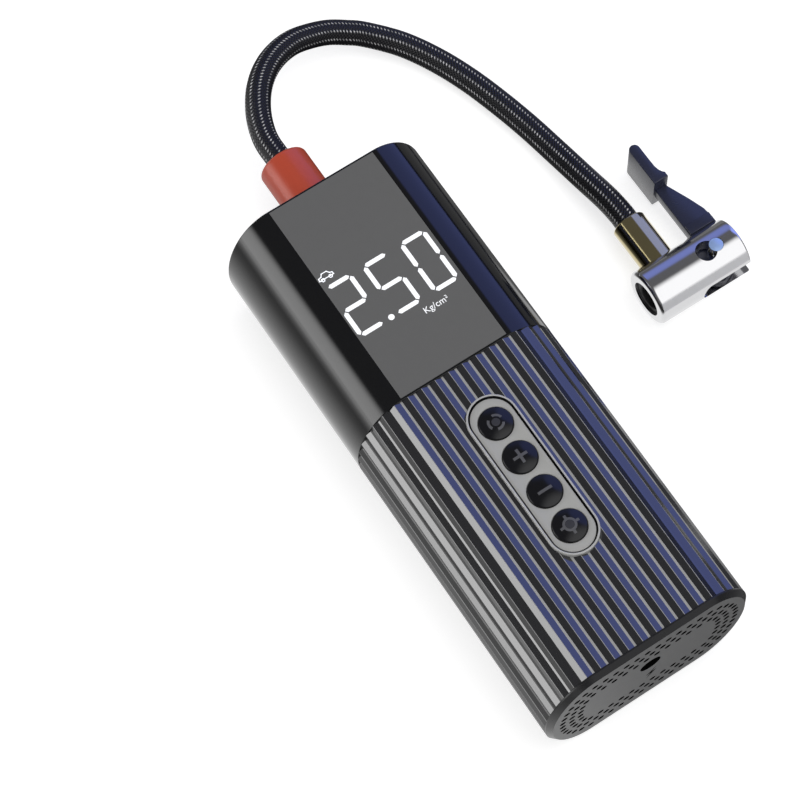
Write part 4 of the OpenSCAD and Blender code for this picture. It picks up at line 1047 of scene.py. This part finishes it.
cap_bm = bmesh.new()
upright = Matrix.Rotation(radians(90), 4, "X")
outer = casing_loop(cap_bm, face_y, CAP_CHAMFER)
hole_edges = []
for row in VENT_ROWS:
    for p in vent_row(*row):
        vent_at = Matrix.Translation((p.x, face_y, p.y + mid_z)) @ upright
        hole_edges += circle_edges(cap_bm, VENT_R, VENT_SEGMENTS, vent_at)
port_at = Matrix.Translation((0, face_y, PORT_Z)) @ upright
hole_edges += circle_edges(cap_bm, PORT_R, 64, port_at)
fill(cap_bm, outer + hole_edges)
walls = bmesh.ops.extrude_edge_only(cap_bm, edges=hole_edges)["geom"]
bmesh.ops.translate(
    cap_bm, vec=(0, cap_in - face_y, 0), verts=of_kind(walls, bmesh.types.BMVert))
stations = [
    (face_y + CAP_CHAMFER, 0.0), (cap_in - 0.12, 0.0), (cap_in, 0.12), (cap_in, SPIGOT_OUT),
    (cap_high.y, SPIGOT_OUT), (cap_high.y, SPIGOT_IN), (cap_in, SPIGOT_IN),
]
join_loops(cap_bm, [outer] + [casing_loop(cap_bm, y, inset) for y, inset in stations])
# Painted shade: the chamfer and side of this one grey moulding are coloured near black, and
# glossier than its face.
rim_shade_paint = Finish("cap_rim_painted_shade", (0.012, 0.012, 0.013), 0.28, ior=1.36).grained(
    0.4, tint=0.1, depth=0.008)
# Painted shade: the walls of the vents and the charging hole are coloured black so that the holes
# read dark.
vent_shade_paint = Finish("vent_wall_painted_shade", (0.003, 0.003, 0.003), 0.8, ior=1.1).grained(
    0.3, tint=0.2, depth=0.01)
# Faces square to Y keep the grey; the rim takes the near-black painted shade, and the vent and port
# walls take the black painted shade.
for face in cap_bm.faces:
    facing = abs(face.normal.y)
    on_rim = facing > 0.05 or casing_depth(face.calc_center_median()) < RIM_DEPTH
    face.material_index = 0 if facing > 0.95 else 1 if on_rim else 2
cap = finished_piece(
    "end_cap", cap_bm, cap_grey, stands_for=["bottom_cap"], soft_below=30)
cap.data.materials.append(rim_shade_paint)
cap.data.materials.append(vent_shade_paint)
bolt_bm = plate(BOLT_SIGN, 0, PRINT_T * 0.9, (0, 0))
bmesh.ops.rotate(bolt_bm, cent=(0, 0, 0), matrix=upright, verts=bolt_bm.verts)
bmesh.ops.translate(bolt_bm, vec=(BOLT_AT[0], face_y, BOLT_AT[1]), verts=bolt_bm.verts)
sign_ink = Finish("printed_black", (0.012, 0.012, 0.012), 0.9, ior=1.05).grained(
    0.3, tint=0.1, depth=0.002)
finished_piece("charge_sign", bolt_bm, sign_ink)

# ---- Inside ----
# What the casing hides: cells in their cradle, boards and their parts, the geared motor and the
# piston pump. They are moulded, cast, turned, stamped or etched, and each shows its own finish.
def moulded(name, colour, roughness=0.45, size=0.3):
    """Plain moulded or printed skin."""
    return Finish(name, colour, roughness).grained(size, tint=0.1, wear=0.06, depth=0.012)


def metal(name, colour, roughness=0.3, size=0.2, stretch=(1, 1, 1), depth=0.006):
    """Bare metal, its grain drawn out by stretch."""
    return Finish(name, colour, roughness, metallic=1.0).grained(
        size, tint=0.08, wear=0.07, depth=depth, stretch=stretch)


INSIDE = [
    (moulded("cell_sleeve_blue", (0.055, 0.21, 0.46), 0.32, 2.0), "battery_cells"),
    (moulded("dark_grey_abs", (0.045, 0.048, 0.055), 0.5), "battery_cradle chassis"),
    (moulded("silicone_lead_red", (0.42, 0.022, 0.014), 0.5), "battery_leads"),
    (metal("nickel_strip", (0.60, 0.57, 0.51), 0.28, 0.3), "cell_tabs"),
    (moulded("solder_mask_green", (0.014, 0.105, 0.042), 0.3, 1.5), "main_board display_board"),
    (moulded("component_black", (0.020, 0.020, 0.022), 0.4),
     "board_components tact_switches charge_jack pressure_sensor"),
    (moulded("module_black", (0.006, 0.006, 0.007), 0.25), "display_module"),
    (moulded("board_white", (0.74, 0.72, 0.66), 0.4, 1.0), "lamp_board"),
    (metal("zinc_screw", (0.33, 0.34, 0.36), 0.35), "board_screws frame_screws motor_screws"),
    (metal("cast_alloy", (0.36, 0.37, 0.38), 0.45, 0.35, depth=0.03),
     "pump_frame cylinder_head connecting_rod"),
    (metal("honed_alloy", (0.46, 0.47, 0.49), 0.28, 0.12, (10, 1, 10)), "cylinder"),
    (metal("stamped_steel", (0.28, 0.29, 0.30), 0.33), "valve_plate"),
    (metal("drawn_steel", (0.45, 0.46, 0.48), 0.3, 0.15, (1, 14, 1)), "motor_can motor_rotor"),
    (moulded("end_bell_white", (0.68, 0.67, 0.60), 0.45, 0.6), "motor_end_bell"),
    (moulded("sintered_ferrite", (0.038, 0.039, 0.042), 0.6, 0.15), "motor_magnets"),
    (metal("sintered_bronze", (0.43, 0.25, 0.10), 0.42, 0.12, depth=0.02), "motor_bushes"),
    (metal("enamelled_copper", (0.47, 0.17, 0.055), 0.32, 0.25, (1, 10, 1), 0.05),
     "rotor_windings"),
    (moulded("natural_nylon", (0.72, 0.69, 0.60), 0.42, 0.8), "drive_gear piston"),
    (metal("ground_steel", (0.52, 0.53, 0.55), 0.16, 0.1, (8, 1, 1), 0.002),
     "gear_axle wrist_pin crank_pin chuck_depressor"),
    (moulded("clear_pvc_tube", (0.76, 0.78, 0.80), 0.25, 1.0), "sensor_tube"),
    (turned_brass, "pinion chuck_plunger"), (seal_rubber, "piston_ring"),
]
for finish, hidden_nodes in INSIDE:
    for hidden_node in hidden_nodes.split():
        dress(hidden_node, finish)

# ---- Studio ----
# White ground and backdrop under a soft box; the sky has a blue panel at the right and a lit
# white one at the left, and grey cards on the ground beside the casing show in gloss only.
CARD_TONES = [
    (-500, 0.75), (-360, 0.50), (-200, 0.21), (-150, 0.10), (-100, 0.13), (-64, 0.22),
    (-33, 0.26), (0, 0.05), (33, 0.0), (60, 0.05), (320, 0.06), (500, 0.0),
]
CARD_LIGHT = 4.0
GROUND_HALF = 6000
GROUND_Z = -0.2
GROUND_GLOW = 0.70
POOL_AT = (87, -5)
POOL_HALF = (36, 75)
POOL_TONE = 0.26
POOL_FADE = (0.7, 1.1)
ground_bm = bmesh.new()
bmesh.ops.create_grid(ground_bm, x_segments=1, y_segments=1, size=GROUND_HALF)
bmesh.ops.translate(ground_bm, vec=(0, 0, GROUND_Z), verts=ground_bm.verts)
ground = placed("ground", mesh_in_metres("ground", ground_bm))
floor = Finish("white_ground", (0.55, 0.55, 0.55), 0.6)
rays = floor.node("LightPath").outputs
seen = floor.maths("MAXIMUM", rays["Is Camera Ray"], rays["Is Transmission Ray"])
floor.glow((1, 1, 1), floor.maths("MULTIPLY", seen, GROUND_GLOW))
coords = floor.node("TexCoord").outputs["Object"]
place = floor.node("SeparateXYZ", [("Vector", coords)]).outputs
cards_x0, cards_x1 = CARD_TONES[0][0], CARD_TONES[-1][0]
along_cards = spread(floor.tree, place["X"], (cards_x0 * MM, cards_x1 * MM))
cards = floor.node("ValToRGB", [("Fac", along_cards)])
stops = cards.color_ramp.elements
for x, _ in CARD_TONES[1:-1]:
    stops.new((x - cards_x0) / (cards_x1 - cards_x0))
for stop, (_, tone) in zip(stops, CARD_TONES):
    stop.color = (tone, tone, tone, 1)
# The ground stays white round the chuck and its lever.
off_x, off_y = (
    floor.maths("MULTIPLY", floor.maths(
        "SUBTRACT", place[axis], middle * MM), 1 / (half * MM))
    for axis, middle, half in zip("XY", POOL_AT, POOL_HALF))
reach = floor.maths("ADD", floor.maths("POWER", off_x, 2), floor.maths("POWER", off_y, 2))
pool = spread(floor.tree, reach, POOL_FADE, (POOL_TONE, 0.0))
tone = floor.maths("MAXIMUM", cards.outputs["Color"], pool)
mirrored_ground = floor.node("Emission", [("Color", tone), ("Strength", CARD_LIGHT)])
chosen = floor.node("MixShader", [
    (0, rays["Is Glossy Ray"]), (1, floor.shader.outputs[0]), (2, mirrored_ground.outputs[0])])
surface = floor.tree.nodes["Material Output"].inputs["Surface"]
feed(floor.tree, surface, chosen.outputs[0])
ground.data.materials.append(floor.material)

scene.world = bpy.data.worlds.new("studio")
scene.world.use_nodes = True
sky_tree = scene.world.node_tree
rays = add_node(sky_tree, "LightPath").outputs
view = add_node(sky_tree, "TexCoord").outputs["Generated"]

SKY_BASE = (0.14, 0.14, 0.145, 1)
SKY_SOFT = (0.45, 0.45, 0.45, 1)
SKY_SEEN = (1, 1, 1, 1)
# Each patch is whole up to the first angle from its direction and fades out to the second.
SKY_PATCHES = [
    ((-0.925, 0.35, 0.15), 9, 31, (4.2, 4.2, 4.2)),
    ((0.80, 0.36, 0.48), 27, 33, (0.44, 0.55, 1.45)),
    ((0.30, 0.82, 0.49), 0, 22, (0.24, 0.29, 0.70)),
    ((0.25, -0.60, 0.76), 23, 46, (1.45, 1.45, 1.45)),
    ((0.30, -0.95, 0.05), 14, 24, (0.95, 0.95, 0.95)),
]
sky = SKY_BASE
for direction, whole_to, gone_from, tone in SKY_PATCHES:
    aim = tuple(Vector(direction).normalized())
    dot = add_node(sky_tree, "VectorMath", [(0, view), (1, aim)], operation="DOT_PRODUCT")
    fade = (cos(radians(gone_from)), cos(radians(whole_to)))
    patch = spread(sky_tree, dot.outputs["Value"], fade, smooth=True)
    sky = mixed(sky_tree, patch, sky, (*tone, 1))
sky = mixed(sky_tree, rays["Is Diffuse Ray"], sky, SKY_SOFT)
sky = mixed(sky_tree, rays["Is Camera Ray"], sky, SKY_SEEN)
feed(sky_tree, sky_tree.nodes["Background"].inputs["Color"], sky)

# One soft box overhead only lights; it isn't seen in gloss.
BOX_AT = (0.2, -0.1, 1.1)
BOX_AIM = (0.02, 0.02, 0)
BOX_SIZE = 0.8
BOX_WATTS = 5.2
lamp = bpy.data.lights.new("overhead_box", "AREA")
lamp.size = BOX_SIZE
lamp.energy = BOX_WATTS
soft_box = placed("overhead_box", lamp)
soft_box.location = BOX_AT
soft_box.rotation_euler = (Vector(BOX_AIM) - Vector(BOX_AT)).to_track_quat("-Z", "Y").to_euler()
soft_box.visible_camera = soft_box.visible_glossy = False

# A white card stands in front of the chuck and shows in its chrome only.
CARD_SIZE = (110, 30)
CARD_AT = (110, -35, 15)
CARD_GLOW = 0.35
card_bm = bmesh.new()
bmesh.ops.create_grid(card_bm, x_segments=1, y_segments=1, size=0.5)
bmesh.ops.scale(card_bm, vec=(*CARD_SIZE, 1), verts=card_bm.verts)
bmesh.ops.rotate(card_bm, cent=(0, 0, 0), matrix=upright, verts=card_bm.verts)
bmesh.ops.translate(card_bm, vec=CARD_AT, verts=card_bm.verts)
card = placed("bounce_card", mesh_in_metres("bounce_card", card_bm))
card_white = Finish("card_white", (0.8, 0.8, 0.8), 0.8)
card_white.glow((1, 1, 1), CARD_GLOW)
card.data.materials.append(card_white.material)
card.visible_camera = card.visible_diffuse = False
card.visible_shadow = card.visible_transmission = False
